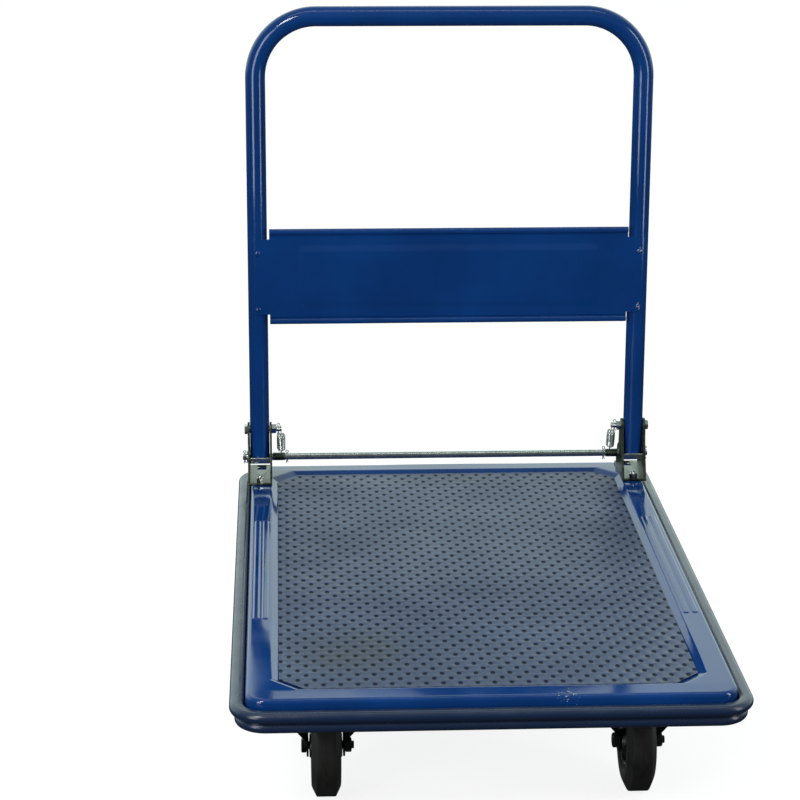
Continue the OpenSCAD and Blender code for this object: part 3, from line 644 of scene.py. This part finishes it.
laying, given = start_nodes("tiles in offset rows", [
    ("Tile", "Object"), ("Across", "Float"), ("Along", "Float"), ("Columns", "Int"),
    ("Rows", "Int"), ("Material", "Material")])
width, length = [
    sum_of(laying, "MULTIPLY", given[step], sum_of(laying, "SUBTRACT", given[count], 1.0))
    for step, count in (("Across", "Columns"), ("Along", "Rows"))]
grid = add(laying, "GeometryNodeMeshGrid", {0: width, 1: length,
                                            2: given["Columns"], 3: given["Rows"]})
at = add(laying, "ShaderNodeSeparateXYZ", {0: add(
    laying, "GeometryNodeInputPosition").outputs[0]})
row = sum_of(laying, "ROUND", sum_of(laying, "DIVIDE", at.outputs["Y"], given["Along"]))
odd = sum_of(laying, "FLOORED_MODULO", row, 2.0)
shift = sum_of(laying, "MULTIPLY", odd, sum_of(laying, "MULTIPLY", given["Across"], 0.5))
moved = add(laying, "GeometryNodeSetPosition", {"Geometry": grid.outputs[0], "Offset": add(
    laying, "ShaderNodeCombineXYZ", {0: shift}).outputs[0]})
one_tile = add(laying, "GeometryNodeObjectInfo", {"Object": given["Tile"]})
tiles = add(laying, "GeometryNodeInstanceOnPoints", {
    "Points": moved.outputs[0], "Instance": one_tile.outputs["Geometry"]})
welded = add(laying, "GeometryNodeMergeByDistance", {
    "Geometry": add(laying, "GeometryNodeRealizeInstances", {0: tiles.outputs[0]}).outputs[0],
    "Distance": 0.00005})
end_nodes(laying, welded.outputs[0], given["Material"])

# %% Lay, trim and thicken the mat
MAT_X, MAT_Y, MAT_CUT, MAT_T = 247.1, 402.1, 30.0, 1.5
mat = run_nodes(new_piece("deck_mat_dimpled", [(0, 0, 0)], []), laying, Tile=tile,
                Across=TILE_X / 1000, Along=TILE_Y / 1000, Columns=27, Rows=57,
                Material=FINISH["vinyl_mat"])
bpy.data.objects.remove(tile)
mat.data.transform(Matrix.Translation((-TILE_X / 4000, 0, (FLOOR_Z + MAT_T) / 1000)))
slant = math.sqrt(0.5)
cut_reach = (MAT_X + MAT_Y - MAT_CUT) / math.sqrt(2)
trims = [((1, 0), MAT_X), ((-1, 0), MAT_X), ((0, 1), MAT_Y), ((0, -1), MAT_Y)]
trims += [((slant * i, slant * j), cut_reach) for i in BOTH for j in BOTH]
with editing(mat.data) as bm:
    for (nx, ny), reach in trims:
        bmesh.ops.bisect_plane(bm, geom=bm.verts[:] + bm.edges[:] + bm.faces[:], dist=1e-6,
                               plane_co=(nx * reach / 1000, ny * reach / 1000, 0),
                               plane_no=(nx, ny, 0), clear_outer=True)
    rim = [e for e in bm.edges if e.is_boundary]
    hem = bmesh.ops.extrude_edge_only(bm, edges=rim)["geom"]
    for v in (g for g in hem if isinstance(g, bmesh.types.BMVert)):
        v.co.z = FLOOR_Z / 1000
    bmesh.ops.contextual_create(bm, geom=[g for g in hem if isinstance(g, bmesh.types.BMEdge)])
fit(mat, "deck", "vinyl_mat", "deck_mat", sharp=60)

# %% [markdown]
# ## The bumper
#
# An extruded PVC strip that clips over the skirt's lower edge. Its section never changes, so it
# is a ring of sections carried round the pan: a fat upper bead, a smaller step below it, and the
# clip behind.

# %% Section and sweep
BEAD_R, UPPER, LOWER = 6.75, (12.25, -17.5), (6.25, -31.5)
CLIP_T, CLIP_GAP, CLIP_FOOT = 2.5, 0.15, -38.6
clip_back = -SHEET - CLIP_GAP - CLIP_T
section = [(CLIP_GAP, -20.8), (CLIP_GAP, -SKIRT - 0.1), (-SHEET - CLIP_GAP, -SKIRT - 0.1),
           (-SHEET - CLIP_GAP, CLIP_FOOT + 14), (clip_back, CLIP_FOOT + 14),
           (clip_back, CLIP_FOOT + 0.8), (clip_back + 0.8, CLIP_FOOT), (3.0, CLIP_FOOT)]
section += arc(LOWER, BEAD_R, -80, 46, 16)
section += arc(UPPER, BEAD_R, -62, 90, 20) + arc((7.6, UPPER[1]), BEAD_R, 90, 180, 10)
section += [(0.85, -20.4)]


def round_deck(section, corner_steps=14):
    """The section carried round the pan's outline, one ring of section points a station."""
    rings = []
    for sx, sy, first in ((1, 1, 0), (-1, 1, 90), (-1, -1, 180), (1, -1, 270)):
        cx, cy = sx * (PAN_X - PAN_R), sy * (PAN_Y - PAN_R)
        for i in range(corner_steps + 1):
            a = math.radians(first + 90 * i / corner_steps)
            rings.append([(cx + (PAN_R + out) * math.cos(a), cy + (PAN_R + out) * math.sin(a),
                           DECK_Z + up) for out, up in section])
    return rings


bumper = new_piece("bumper_extrusion", *loft(round_deck(section), round_rows=True))
fit(bumper, "deck", "pvc_bumper", "bumper", sharp=40)

# %% [markdown]
# ## The handle
#
# One tube, bent twice, its ends left open. The path is made as points, and the wall as a loft
# that runs up the outside and back down the inside, so that the open ends show their thickness.


# %% Tubes along a path
def tube_rings(path, radius, sides=40):
    """Circles of points across a path, each carried on from the last without twist."""
    path = [Vector(p) for p in path]
    rings, across = [], None
    for i, p in enumerate(path):
        ahead = (path[min(i + 1, len(path) - 1)] - path[max(i - 1, 0)]).normalized()
        if across is None:
            across = ahead.orthogonal().normalized()
        across = (across - ahead * across.dot(ahead)).normalized()
        other = ahead.cross(across)
        rings.append([tuple(p + radius * (math.cos(a) * across + math.sin(a) * other))
                      for a in around(sides)])
    return rings


LEG_X, PIVOT_Y, PIVOT_Z, TUBE_R, TUBE_T = 273.0, 376.5, 268.0, 14.0, 1.5
BEND_R, TOP_Z, BEND_Z, TAIL_Z = 85.0, 866.0, 781.0, 224.0
right_leg = [(LEG_X, PIVOT_Y, z) for z in (TAIL_Z, 300, 420, 600, BEND_Z)]
bend = [(x, PIVOT_Y, z) for x, z in arc((LEG_X - BEND_R, BEND_Z), BEND_R, 0, 90, 22)[1:]]
half_path = right_leg + bend
path = half_path + [(0, PIVOT_Y, TOP_Z)] + [(-x, y, z) for x, y, z in half_path[::-1]]
outside = tube_rings(path, TUBE_R)
inside = tube_rings(path, TUBE_R - TUBE_T)[::-1]
handle = new_piece("handle_tube_bent", *loft(outside + inside, round_rows=True))
fit(handle, "handle", "blue_powder_coat", "handle_tube")

# %% [markdown]
# ## The back panel
#
# A light pressing riveted to the tubes. Its long edges are rolled into beads, its middle is
# raised as one flat field, and its ends wrap round the front of the tubes. It is a grid of
# points: columns across the cart, rows over the section, with the corners beside the beads left
# out, and the sheet's thickness added at the end.

# %% Panel grid
PANEL_X, PANEL_Z, PANEL_H, PANEL_T, ROLL_R = 256.0, 428.5, 139.0, 1.2, 4.5
PANEL_Y = PIVOT_Y - TUBE_R - 0.05 - PANEL_T
PANEL_MID = PANEL_Z + PANEL_H / 2
TAB_H, TAB_WRAP, TAB_R = 110.0, 50.0, TUBE_R + 0.05 + PANEL_T
FIELD_IN_X, FIELD_IN_Z, FIELD_H, FIELD_SLOPE = 38.0, 22.0, 1.4, 12


def field_height(x, z):
    """How far the panel's face is pressed forward at a place on it."""
    in_x = PANEL_X - FIELD_IN_X - abs(x)
    in_z = PANEL_H / 2 - FIELD_IN_Z - abs(z - PANEL_MID)
    inside = 14 - math.hypot(max(14 - in_x, 0), max(14 - in_z, 0))
    return FIELD_H * ease(inside / FIELD_SLOPE)


edge_x = [PANEL_X - FIELD_IN_X - FIELD_SLOPE + i for i in range(-1, FIELD_SLOPE + 2)]
half_x = [0, 50, 100, 150, 190] + edge_x + [236, 246, PANEL_X]
flat_x = [-x for x in half_x[:0:-1]] + half_x
wrap = [(LEG_X + TAB_R * math.sin(math.radians(a)), PIVOT_Y - TAB_R * math.cos(math.radians(a)))
        for a in (0, 6, 12, 18, 24, 30, 36, 42, TAB_WRAP)]
columns = [(-x, y, False) for x, y in wrap[::-1]]
columns += [(x, PANEL_Y, True) for x in flat_x] + [(x, y, False) for x, y in wrap]
# Rows: the lower bead's turn, the face up to the upper bead, and its turn
roll_low = PANEL_Z + ROLL_R
lower = arc((ROLL_R * 0.55, roll_low), ROLL_R, 420, 124, 20)
lower += [(1.5, roll_low + 4.3), (1.5, roll_low + 5.6), (0.01, roll_low + 6.6)]
edge_z = [TAB_H / 2] + [PANEL_H / 2 - FIELD_IN_Z - i for i in range(-1, FIELD_SLOPE + 2)]
face_z = sorted([PANEL_MID + s * d for s in BOTH for d in edge_z] + [PANEL_MID])
rows = [(y, z) for y, z in lower] + [(0.0, z) for z in face_z]
rows += [(y, 2 * PANEL_MID - z) for y, z in lower[::-1]]
verts = [(x, y + off - (field_height(x, z) if is_flat and off == 0.0 else 0.0), z)
         for x, y, is_flat in columns for off, z in rows]
size = len(rows)
faces = []
# The tabs beside the beads leave out all but the face
for i in range(len(columns) - 1):
    both_flat = columns[i][2] and columns[i + 1][2]
    for j in range(size - 1):
        on_face = rows[j][0] == 0.0 and rows[j + 1][0] == 0.0
        if both_flat or on_face:
            here, there = i * size + j, (i + 1) * size + j
            faces.append((here, here + 1, there + 1, there))
panel = new_piece("back_panel_pressed", verts, faces)
with editing(panel.data) as bm:
    bmesh.ops.delete(bm, geom=[v for v in bm.verts if not v.link_faces], context="VERTS")
centre = Vector((0, PANEL_Y, PANEL_MID)) / 1000
if min(panel.data.polygons, key=lambda f: (f.center - centre).length).normal.y > 0:
    panel.data.flip_normals()
modify(panel, "SOLIDIFY", thickness=PANEL_T / 1000, offset=-1.0)
fit(panel, "handle", "blue_powder_coat", "back_panel", sharp=50)

# %% [markdown]
# ## Fasteners
#
# Bolts, nuts, rivets and balls repeat, so each kind is modelled once and Geometry Nodes set
# copies on points. Every point carries the direction its copy faces, and each copy is turned by
# a random amount about that direction, because nobody lines up the flats of their nuts.


# %% Hexagons, threads and domes
def hex_shell(af, height, bore=0.0, steps=72):
    """A hexagon from z = 0 up with its corners turned off; with a bore it is a nut."""
    flat = af / 2 * 0.95
    rings = [[] for _ in range(6)]
    for a in around(steps):
        r = af / 2 / math.cos((a + math.pi / 6) % (math.pi / 3) - math.pi / 6)
        drop = (r - flat) * math.tan(math.radians(30))
        section = ((bore / 2, 0), (flat, 0), (r, drop), (r, height - drop), (flat, height),
                   (bore / 2, height))
        for ring, (size, z) in zip(rings, section):
            ring.append((size * math.cos(a), size * math.sin(a), z))
    return loft(rings, round_rows=bore > 0)


def threaded(d, start, end, pitch, plain=0.0):
    """A shank about Z from start to end, plain first and then with a rolled thread."""
    profile = [(0, start), (d / 2, start), (d / 2, start + plain)]
    z = start + plain
    while z + pitch < end:
        profile += [(d / 2, z + pitch * 0.2), (d / 2 - pitch * 0.5, z + pitch * 0.6),
                    (d / 2, z + pitch)]
        z += pitch
    profile += [(d / 2 - 0.6, end), (0, end)]
    return spin(profile, steps=32)


def hex_bolt(d, length, af, head, pitch, shown):
    """A bolt: its head below z = 0 and its shank above, threaded over the length shown."""
    verts, faces = hex_shell(af, head)
    return merge(([(x, -y, -z) for x, y, z in verts], faces),
                 threaded(d, 0, length, pitch, plain=length - shown))


def dome_shell(radius, height, stem_d, stem_l):
    """A low round head on a stem that runs down from z = 0."""
    big = (radius * radius + height * height) / (2 * height)
    cap = [(r, height - big + math.sqrt(big * big - r * r))
           for r in (radius * i / 8 for i in range(9))]
    return spin(cap + [(stem_d / 2, 0), (stem_d / 2, -stem_l), (0, -stem_l)], steps=32)


# %% Nodes that set copies on points
setting, given = start_nodes("copies on points", [
    ("Piece", "Object"), ("Turn", "Float"), ("Seed", "Int"), ("Material", "Material")])
direction = add(setting, "GeometryNodeInputNamedAttribute", {"Name": "facing"},
                data_type="FLOAT_VECTOR")
aimed = add(setting, "FunctionNodeAlignRotationToVector", {"Vector": direction.outputs[0]},
            axis="Z")
one_piece = add(setting, "GeometryNodeObjectInfo", {"Object": given["Piece"]})
copies = add(setting, "GeometryNodeInstanceOnPoints", {
    "Points": given["Mesh"], "Rotation": aimed.outputs[0],
    "Instance": one_piece.outputs["Geometry"]})
spun = add(setting, "FunctionNodeRandomValue", {2: 0.0, 3: given["Turn"],
                                                "Seed": given["Seed"]}, data_type="FLOAT")
turned = add(setting, "GeometryNodeRotateInstances", {
    "Instances": copies.outputs[0],
    "Rotation": add(setting, "ShaderNodeCombineXYZ", {2: spun.outputs[1]}).outputs[0]})
end_nodes(setting, turned.outputs[0], given["Material"])


def set_copies(name, shell, places, body, slot, node, seed=1, turn=math.pi, sharp=35):
    """Sets a copy of the shell at each (place, facing) and fits the result to its body."""
    piece = new_piece(name + "_one", *shell)
    points = bpy.data.meshes.new(name)
    points.from_pydata([Vector(p) / 1000 for p, _ in places], [], [])
    facing = points.attributes.new("facing", "FLOAT_VECTOR", "POINT")
    for i, (_, way) in enumerate(places):
        facing.data[i].vector = way
    obj = put(name, points)
    run_nodes(obj, setting, Piece=piece, Turn=turn, Seed=seed, Material=FINISH[slot])
    if "facing" in obj.data.attributes:
        obj.data.attributes.remove(obj.data.attributes["facing"])
    bpy.data.objects.remove(piece)
    return fit(obj, body, slot, node, sharp=sharp)


# %% Plate, base and pivot fasteners
CASTER_X, CASTER_Y, AXLE_Z, TRAIL, PLATE_Z, CASTER_H = 191.0, 280.0, 62.5, 35.0, 157.0, 160.0
HOLE_X, HOLE_Y, CHANNEL_T = 30, 40, 2
BRACKET_T, EAR_OUT, BASE_BOLT_Y = 3.0, 17.5, 356.0
plate_holes = [(s * CASTER_X + i * HOLE_X, e * CASTER_Y + j * HOLE_Y)
               for s, e, i, j in itertools.product(BOTH, repeat=4)]
base_holes = [(s * LEG_X, BASE_BOLT_Y) for s in BOTH]
m8_nut = hex_shell(13, 6.5, bore=8.05)


def upright(holes, z):
    """Places at one height over holes, all facing up."""
    return [((x, y, z), UP) for x, y in holes]


def at_pivots(out):
    """Places beside both hinges, so far out from the tube's middle and facing inwards."""
    return [((s * (LEG_X + out), PIVOT_Y, PIVOT_Z), (-s, 0, 0)) for s in BOTH]


fasteners = (
    ("plate_bolts", hex_bolt(8, 14.5, 13, 5.3, 1.25, 9), upright(plate_holes, PLATE_Z),
     "caster_plate_bolts"),
    ("plate_nuts", m8_nut, upright(plate_holes, CASTER_H + CHANNEL_T), "caster_plate_nuts"),
    ("hinge_base_bolts_hex", hex_bolt(6, 12.5, 10, 4, 1.0, 8),
     upright(base_holes, DECK_Z - SHEET), "hinge_base_bolts"),
    ("hinge_base_nuts_hex", hex_shell(10, 5, bore=6.05),
     upright(base_holes, DECK_Z + BRACKET_T), "hinge_base_nuts"),
    ("pivot_bolts_hex", hex_bolt(8, 49.5, 13, 4.5, 1.25, 22), at_pivots(EAR_OUT), "pivot_bolts"),
    ("pivot_nuts_hex", m8_nut, at_pivots(-EAR_OUT), "pivot_nuts"))
for seed, (name, shell, places, node) in enumerate(fasteners, start=3):
    set_copies(name, shell, places, "deck", "bright_zinc", node, seed=seed)

# %% Panel rivets
RIVET_D, RIVET_Z, RIVET_PITCH = 4.8, PANEL_MID - 48.0, 82.0
set_copies("panel_rivets_domed", dome_shell(RIVET_D * 0.85, 1.5, RIVET_D, 6),
           [((s * LEG_X, PANEL_Y, RIVET_Z + z), (0, -1, 0)) for s in BOTH
            for z in (0, RIVET_PITCH)],
           "handle", "blue_powder_coat", "panel_rivets", seed=9)

# %% [markdown]
# ## Brackets, forks and plates
#
# These are folded and punched steel, and their shapes are already right in the CAD model. What
# they lack is the small radius that a press leaves, so each is copied, its triangles are welded
# and joined into whole faces again, and a bevel rounds the edges.


# %% Rounded copies of CAD parts
def rounded(node, body, slot, width, segments=3):
    """A copy of a CAD node with its edges rounded by width, in its place."""
    obj = put(node + "_rounded", nodes[node].data.copy())
    with editing(obj.data) as bm:
        weld(bm)
        bmesh.ops.dissolve_limit(bm, angle_limit=math.radians(1), verts=bm.verts, edges=bm.edges)
    modify(obj, "BEVEL", width=width / 1000, segments=segments, limit_method="ANGLE",
           angle_limit=math.radians(32), miter_outer="MITER_ARC")
    return fit(obj, body, slot, node)


for side in SIDES:
    rounded(f"hinge_bracket_{side}", "deck", "zinc_plate", 1.1)
    for node, body_name, width in (("rigid_fork", "deck", 0.6), ("swivel_plate", "deck", 0.5),
                                   ("swivel_fork", f"swivel_{side}", 0.5)):
        rounded(f"{node}_{side}", body_name, "black_zinc", width)
rounded("stop_bars", "deck", "bright_zinc", 1.4, segments=5)
rounded("king_pins", "deck", "bright_zinc", 0.6)
rounded("stringers", "deck", "blue_powder_coat", 0.7)
rounded("cross_channel_front", "deck", "blue_powder_coat", 0.8)
rounded("cross_channel_rear", "deck", "blue_powder_coat", 0.8)
rounded("rod_washers", "foot_rod_set", "bright_zinc", 0.25, segments=2)
rounded("pivot_bushes", "handle", "bush_metal", 0.1, segments=1)

# %% [markdown]
# ## Foot rod, springs and split pins
#
# A bright rod passes through slots in both brackets and is pulled up by two coil springs. All of
# these parts but the rod are wire, so one Geometry Nodes tree sweeps a circle along a path of
# points, and each part is only its path: helix, hook or folded pin.

# %% Nodes that draw wire
drawing, given = start_nodes("wire on a path", [
    ("Wire", "Float"), ("Sides", "Int"), ("Material", "Material")])
line = add(drawing, "GeometryNodeMeshToCurve", {0: given["Mesh"]})
round_section = add(drawing, "GeometryNodeCurvePrimitiveCircle", {
    "Resolution": given["Sides"], "Radius": given["Wire"]})
swept = add(drawing, "GeometryNodeCurveToMesh", {
    "Curve": line.outputs[0], "Profile Curve": round_section.outputs[0], "Fill Caps": True})
end_nodes(drawing, swept.outputs[0], given["Material"])


def wire(name, paths, diameter, slot, sides=10):
    """Wire of one diameter along each of the paths, as one plain mesh."""
    mesh = bpy.data.meshes.new(name)
    verts, edges = [], []
    for path in paths:
        edges += [(len(verts) + i, len(verts) + i + 1) for i in range(len(path) - 1)]
        verts += [Vector(p) / 1000 for p in path]
    mesh.from_pydata(verts, edges, [])
    return run_nodes(put(name, mesh), drawing, Wire=diameter / 2000, Sides=sides,
                     Material=FINISH[slot])


def helix(start, axis, radius, turns, pitch, per_turn=20):
    """Points of a coil that starts at a place and climbs along an axis."""
    axis = Vector(axis).normalized()
    across = axis.orthogonal().normalized()
    other = axis.cross(across)
    points = []
    for i in range(int(turns * per_turn) + 1):
        a = 2 * math.pi * i / per_turn
        points.append(tuple(Vector(start) + axis * (pitch * i / per_turn)
                            + radius * (math.cos(a) * across + math.sin(a) * other)))
    return points


# %% Rod and the coils wound on it
ROD_X, ROD_Y, ROD_Z, ROD_D = 298.5, 396.5, 219.5, 10.0
SLEEVE_L, COIL_WIRE, COIL_R, COIL_TURNS, COIL_PITCH = 19.0, 1.0, 5.5, 17.0, 1.06
half_rod = [(ROD_D / 2, 100), (ROD_D / 2, ROD_X - 1), (ROD_D / 2 - 1, ROD_X), (0, ROD_X)]
rod = new_piece("foot_rod_turned", *spin([(r, -x) for r, x in half_rod[::-1]] + half_rod))
rod.data.transform(Matrix.Translation((0, ROD_Y / 1000, ROD_Z / 1000))
                   @ Matrix.Rotation(math.pi / 2, 4, "Y"))
fit(rod, "foot_rod_set", "bright_zinc", "foot_rod")
coil_from = LEG_X - EAR_OUT - 0.4 - SLEEVE_L + 0.5
coils = [helix((s * coil_from, ROD_Y, ROD_Z), (s, 0, 0), COIL_R, COIL_TURNS, COIL_PITCH)
         for s in BOTH]
fit(wire("rod_coils_wound", coils, COIL_WIRE, "zinc_plate", sides=8), "foot_rod_set",
    "zinc_plate", "rod_sleeves", sharp=60)

# %% Return springs
SPRING_X, SPRING_FROM, SPRING_L, SPRING_R, SPRING_WIRE = 242.0, 12.0, 26.0, 5.7, 1.6
SPRING_TURNS, HOOK_R, SLEEVE_REACH = 11.0, 5.0, 6.8
lean = Vector((0, ROD_Y - PIVOT_Y, ROD_Z - PIVOT_Z)).normalized()
for side, s in SIDES.items():
    from_top = Vector((s * SPRING_X, PIVOT_Y, PIVOT_Z))
    coil = helix(from_top + lean * SPRING_FROM, lean, SPRING_R, SPRING_TURNS,
                 SPRING_L / SPRING_TURNS)
    hook = [from_top + Vector((0, y, z)) for y, z in arc((0, 0), HOOK_R, 200, -40, 12)]
    tie = from_top + lean * (SPRING_FROM - 3)
    foot = from_top + lean * (SPRING_FROM + SPRING_L + 2)
    sleeve_top = Vector((s * SPRING_X, ROD_Y, ROD_Z)) - lean * SLEEVE_REACH
    spring = wire(f"return_spring_{side}", [hook + [tie] + coil + [foot, sleeve_top]],
                  SPRING_WIRE, "bright_zinc", sides=8)
    coat(spring, "bright_zinc")
    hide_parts(f"spring_{side}")
    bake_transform(spring)
    print(spring.name, len(spring.data.polygons), "faces between deck and rod")

# %% [markdown]
# ## Split pins
#
# A split pin is a half-round wire folded into an eye, pushed through a hole with its two legs
# bent apart behind. Each is one path: up one leg, round the eye and down the other.


# %% Split pins
def split_pin(at, radius, spread):
    """The path of a split pin along -Z through a shaft, its legs bent apart below."""
    x, y, z = at
    eye = arc((0, radius + 2.9), 1.8, -66, 246, 16)
    leg = [(0.35, radius + 0.6), (0.35, -radius - 0.6), (0.6, -radius - 1.8)]
    tail = (0.7 + spread, -radius - 4.6)
    points = [tail] + leg[::-1] + eye + [(-a, b) for a, b in leg]
    points += [(-tail[0] * 0.6, tail[1] - 0.8)]
    return [(x + a, y, z + b) for a, b in points]


PIN_WIRE, PIN_SPREAD, PIVOT_PIN_X, ROD_PIN_X = 1.4, 1.4, 246.0, (233.5, 295.5)
pins_at_pivot = [split_pin((s * PIVOT_PIN_X, PIVOT_Y, PIVOT_Z), 4, PIN_SPREAD) for s in BOTH]
pins_on_rod = [split_pin((s * x, ROD_Y, ROD_Z), ROD_D / 2, PIN_SPREAD)
               for s in BOTH for x in ROD_PIN_X]
for name, pins, body_name, node in (
        ("pivot_pins_bent", pins_at_pivot, "deck", "pivot_split_pins"),
        ("rod_pins_bent", pins_on_rod, "foot_rod_set", "rod_split_pins")):
    fit(wire(name, pins, PIN_WIRE, "bright_zinc", sides=8), body_name, "bright_zinc", node,
        sharp=60)

# %% [markdown]
# ## Wheels
#
# A solid rubber tyre with a flat tread is pressed on a ribbed plastic centre. Both are turned
# shapes, spun from half a section; the ribs are boxes copied and turned round the axle.

# %% Tyre and centre
WHEEL_R, WHEEL_W, CENTRE_R, HUB_W = 62.5, 36.0, 34.0, 40.0
side = WHEEL_W / 2
half = [(CENTRE_R + r, side - z) for r, z in ((0, 3), (2.5, 3), (3.2, 2.6), (4.2, 0.5), (5, 0))]
half += [(r, side - z) for r, z in (
    (48.3, 0), (49.2, 0.07), (50.2, 0.42), (54, 2.1), (58, 4), (61, 5.5), (61.7, 5.95),
    (62.2, 6.4), (WHEEL_R, 7))]
half += [(WHEEL_R, 6), (WHEEL_R, 0.5), (WHEEL_R - 0.25, 0.3)]
tyre_shell = spin(half + [(r, -z) for r, z in half[::-1]], steps=96, closed=True)
rim_side = side - 3
half = [(8.05, HUB_W / 2), (14.2, HUB_W / 2), (15.0, HUB_W / 2 - 0.8), (17.0, 5.0), (18.5, 4.0),
        (CENTRE_R - 8, 4.0), (CENTRE_R - 6.5, 5.0), (CENTRE_R - 5, rim_side - 0.5),
        (CENTRE_R - 4.5, rim_side), (CENTRE_R - 0.6, rim_side), (CENTRE_R, rim_side - 0.6)]
centre_shell = spin(half + [(r, -z) for r, z in half[::-1]], steps=72, closed=True)
RIBS, RIB_THICK = 10, 1.2
BOX_FACES = [(0, 1, 3, 2), (4, 6, 7, 5), (0, 4, 5, 1), (2, 3, 7, 6), (1, 5, 7, 3), (0, 2, 6, 4)]
rib_shells = []
for angle in around(RIBS):
    turn = Matrix.Rotation(angle, 3, "Z")
    for up in BOTH:
        corners = [(r, t, up * z) for r, top_z in ((14.6, 15.0), (CENTRE_R - 5.4, 12.5))
                   for t in (-RIB_THICK, RIB_THICK) for z in (3.6, top_z)]
        rib_shells.append(([tuple(turn @ Vector(c)) for c in corners], BOX_FACES))
to_axle = Matrix.Rotation(math.pi / 2, 4, "Y")
wheels = {f"{end}_{s}": (SIDES[s] * CASTER_X, -CASTER_Y if end == "front" else CASTER_Y + TRAIL)
          for end in ("front", "rear") for s in SIDES}
for wheel, (x, y) in wheels.items():
    end, s = wheel.split("_")
    at = Matrix.Translation((x / 1000, y / 1000, AXLE_Z / 1000)) @ to_axle
    for kind, shell, slot in (("tyre", tyre_shell, "wheel_rubber"),
                              ("centre", merge(centre_shell, *rib_shells), "wheel_plastic")):
        obj = new_piece(f"{end}_{kind}_{s}_moulded", *shell)
        obj.data.transform(at)
        fit(obj, f"{end}_wheel_{s}", slot, f"{end}_{kind}_{s}", sharp=40)
    rounded(f"{end}_bush_{s}", f"{end}_wheel_{s}", "bush_metal", 0.2, segments=1)

# %% Axle bolts, nuts and the swivel races' balls
axle_bolt = hex_bolt(10, 58, 16, 6.5, 1.5, 13)
axle_nut = hex_shell(16, 8, bore=10.05)
FORK_HALF, BALL_D, RACE_R, BALLS = 23.5, 5.0, 24.0, 14


def set_axles(bolts, nuts, axles, body, seed):
    """Bolts through the forks from the left, and their nuts on the right."""
    for node, shell, out in ((bolts, axle_bolt, -FORK_HALF), (nuts, axle_nut, FORK_HALF)):
        set_copies(node + "_hex", shell, [((x + out, y, AXLE_Z), (1, 0, 0)) for x, y in axles],
                   body, "black_zinc", node, seed=seed)
        seed += 1


set_axles("front_axle_bolts", "front_axle_nuts",
          [(s * CASTER_X, -CASTER_Y) for s in BOTH], "deck", 11)
for name, s in SIDES.items():
    set_axles(f"rear_axle_bolt_{name}", f"rear_axle_nut_{name}",
              [(s * CASTER_X, CASTER_Y + TRAIL)], f"swivel_{name}", 13)
    low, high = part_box(f"race_balls_{name}")
    ball_z = (low.z + high.z) * 500
    ring = [((s * CASTER_X + RACE_R * math.cos(a), CASTER_Y + RACE_R * math.sin(a), ball_z),
             UP) for a in around(BALLS)]
    ball = spin([(r, z) for z, r in arc((0, 0), BALL_D / 2, 180, 0, 12)], steps=18)
    set_copies(f"race_balls_{name}_round", ball, ring, f"swivel_{name}", "bright_zinc",
               f"race_balls_{name}", seed=15)
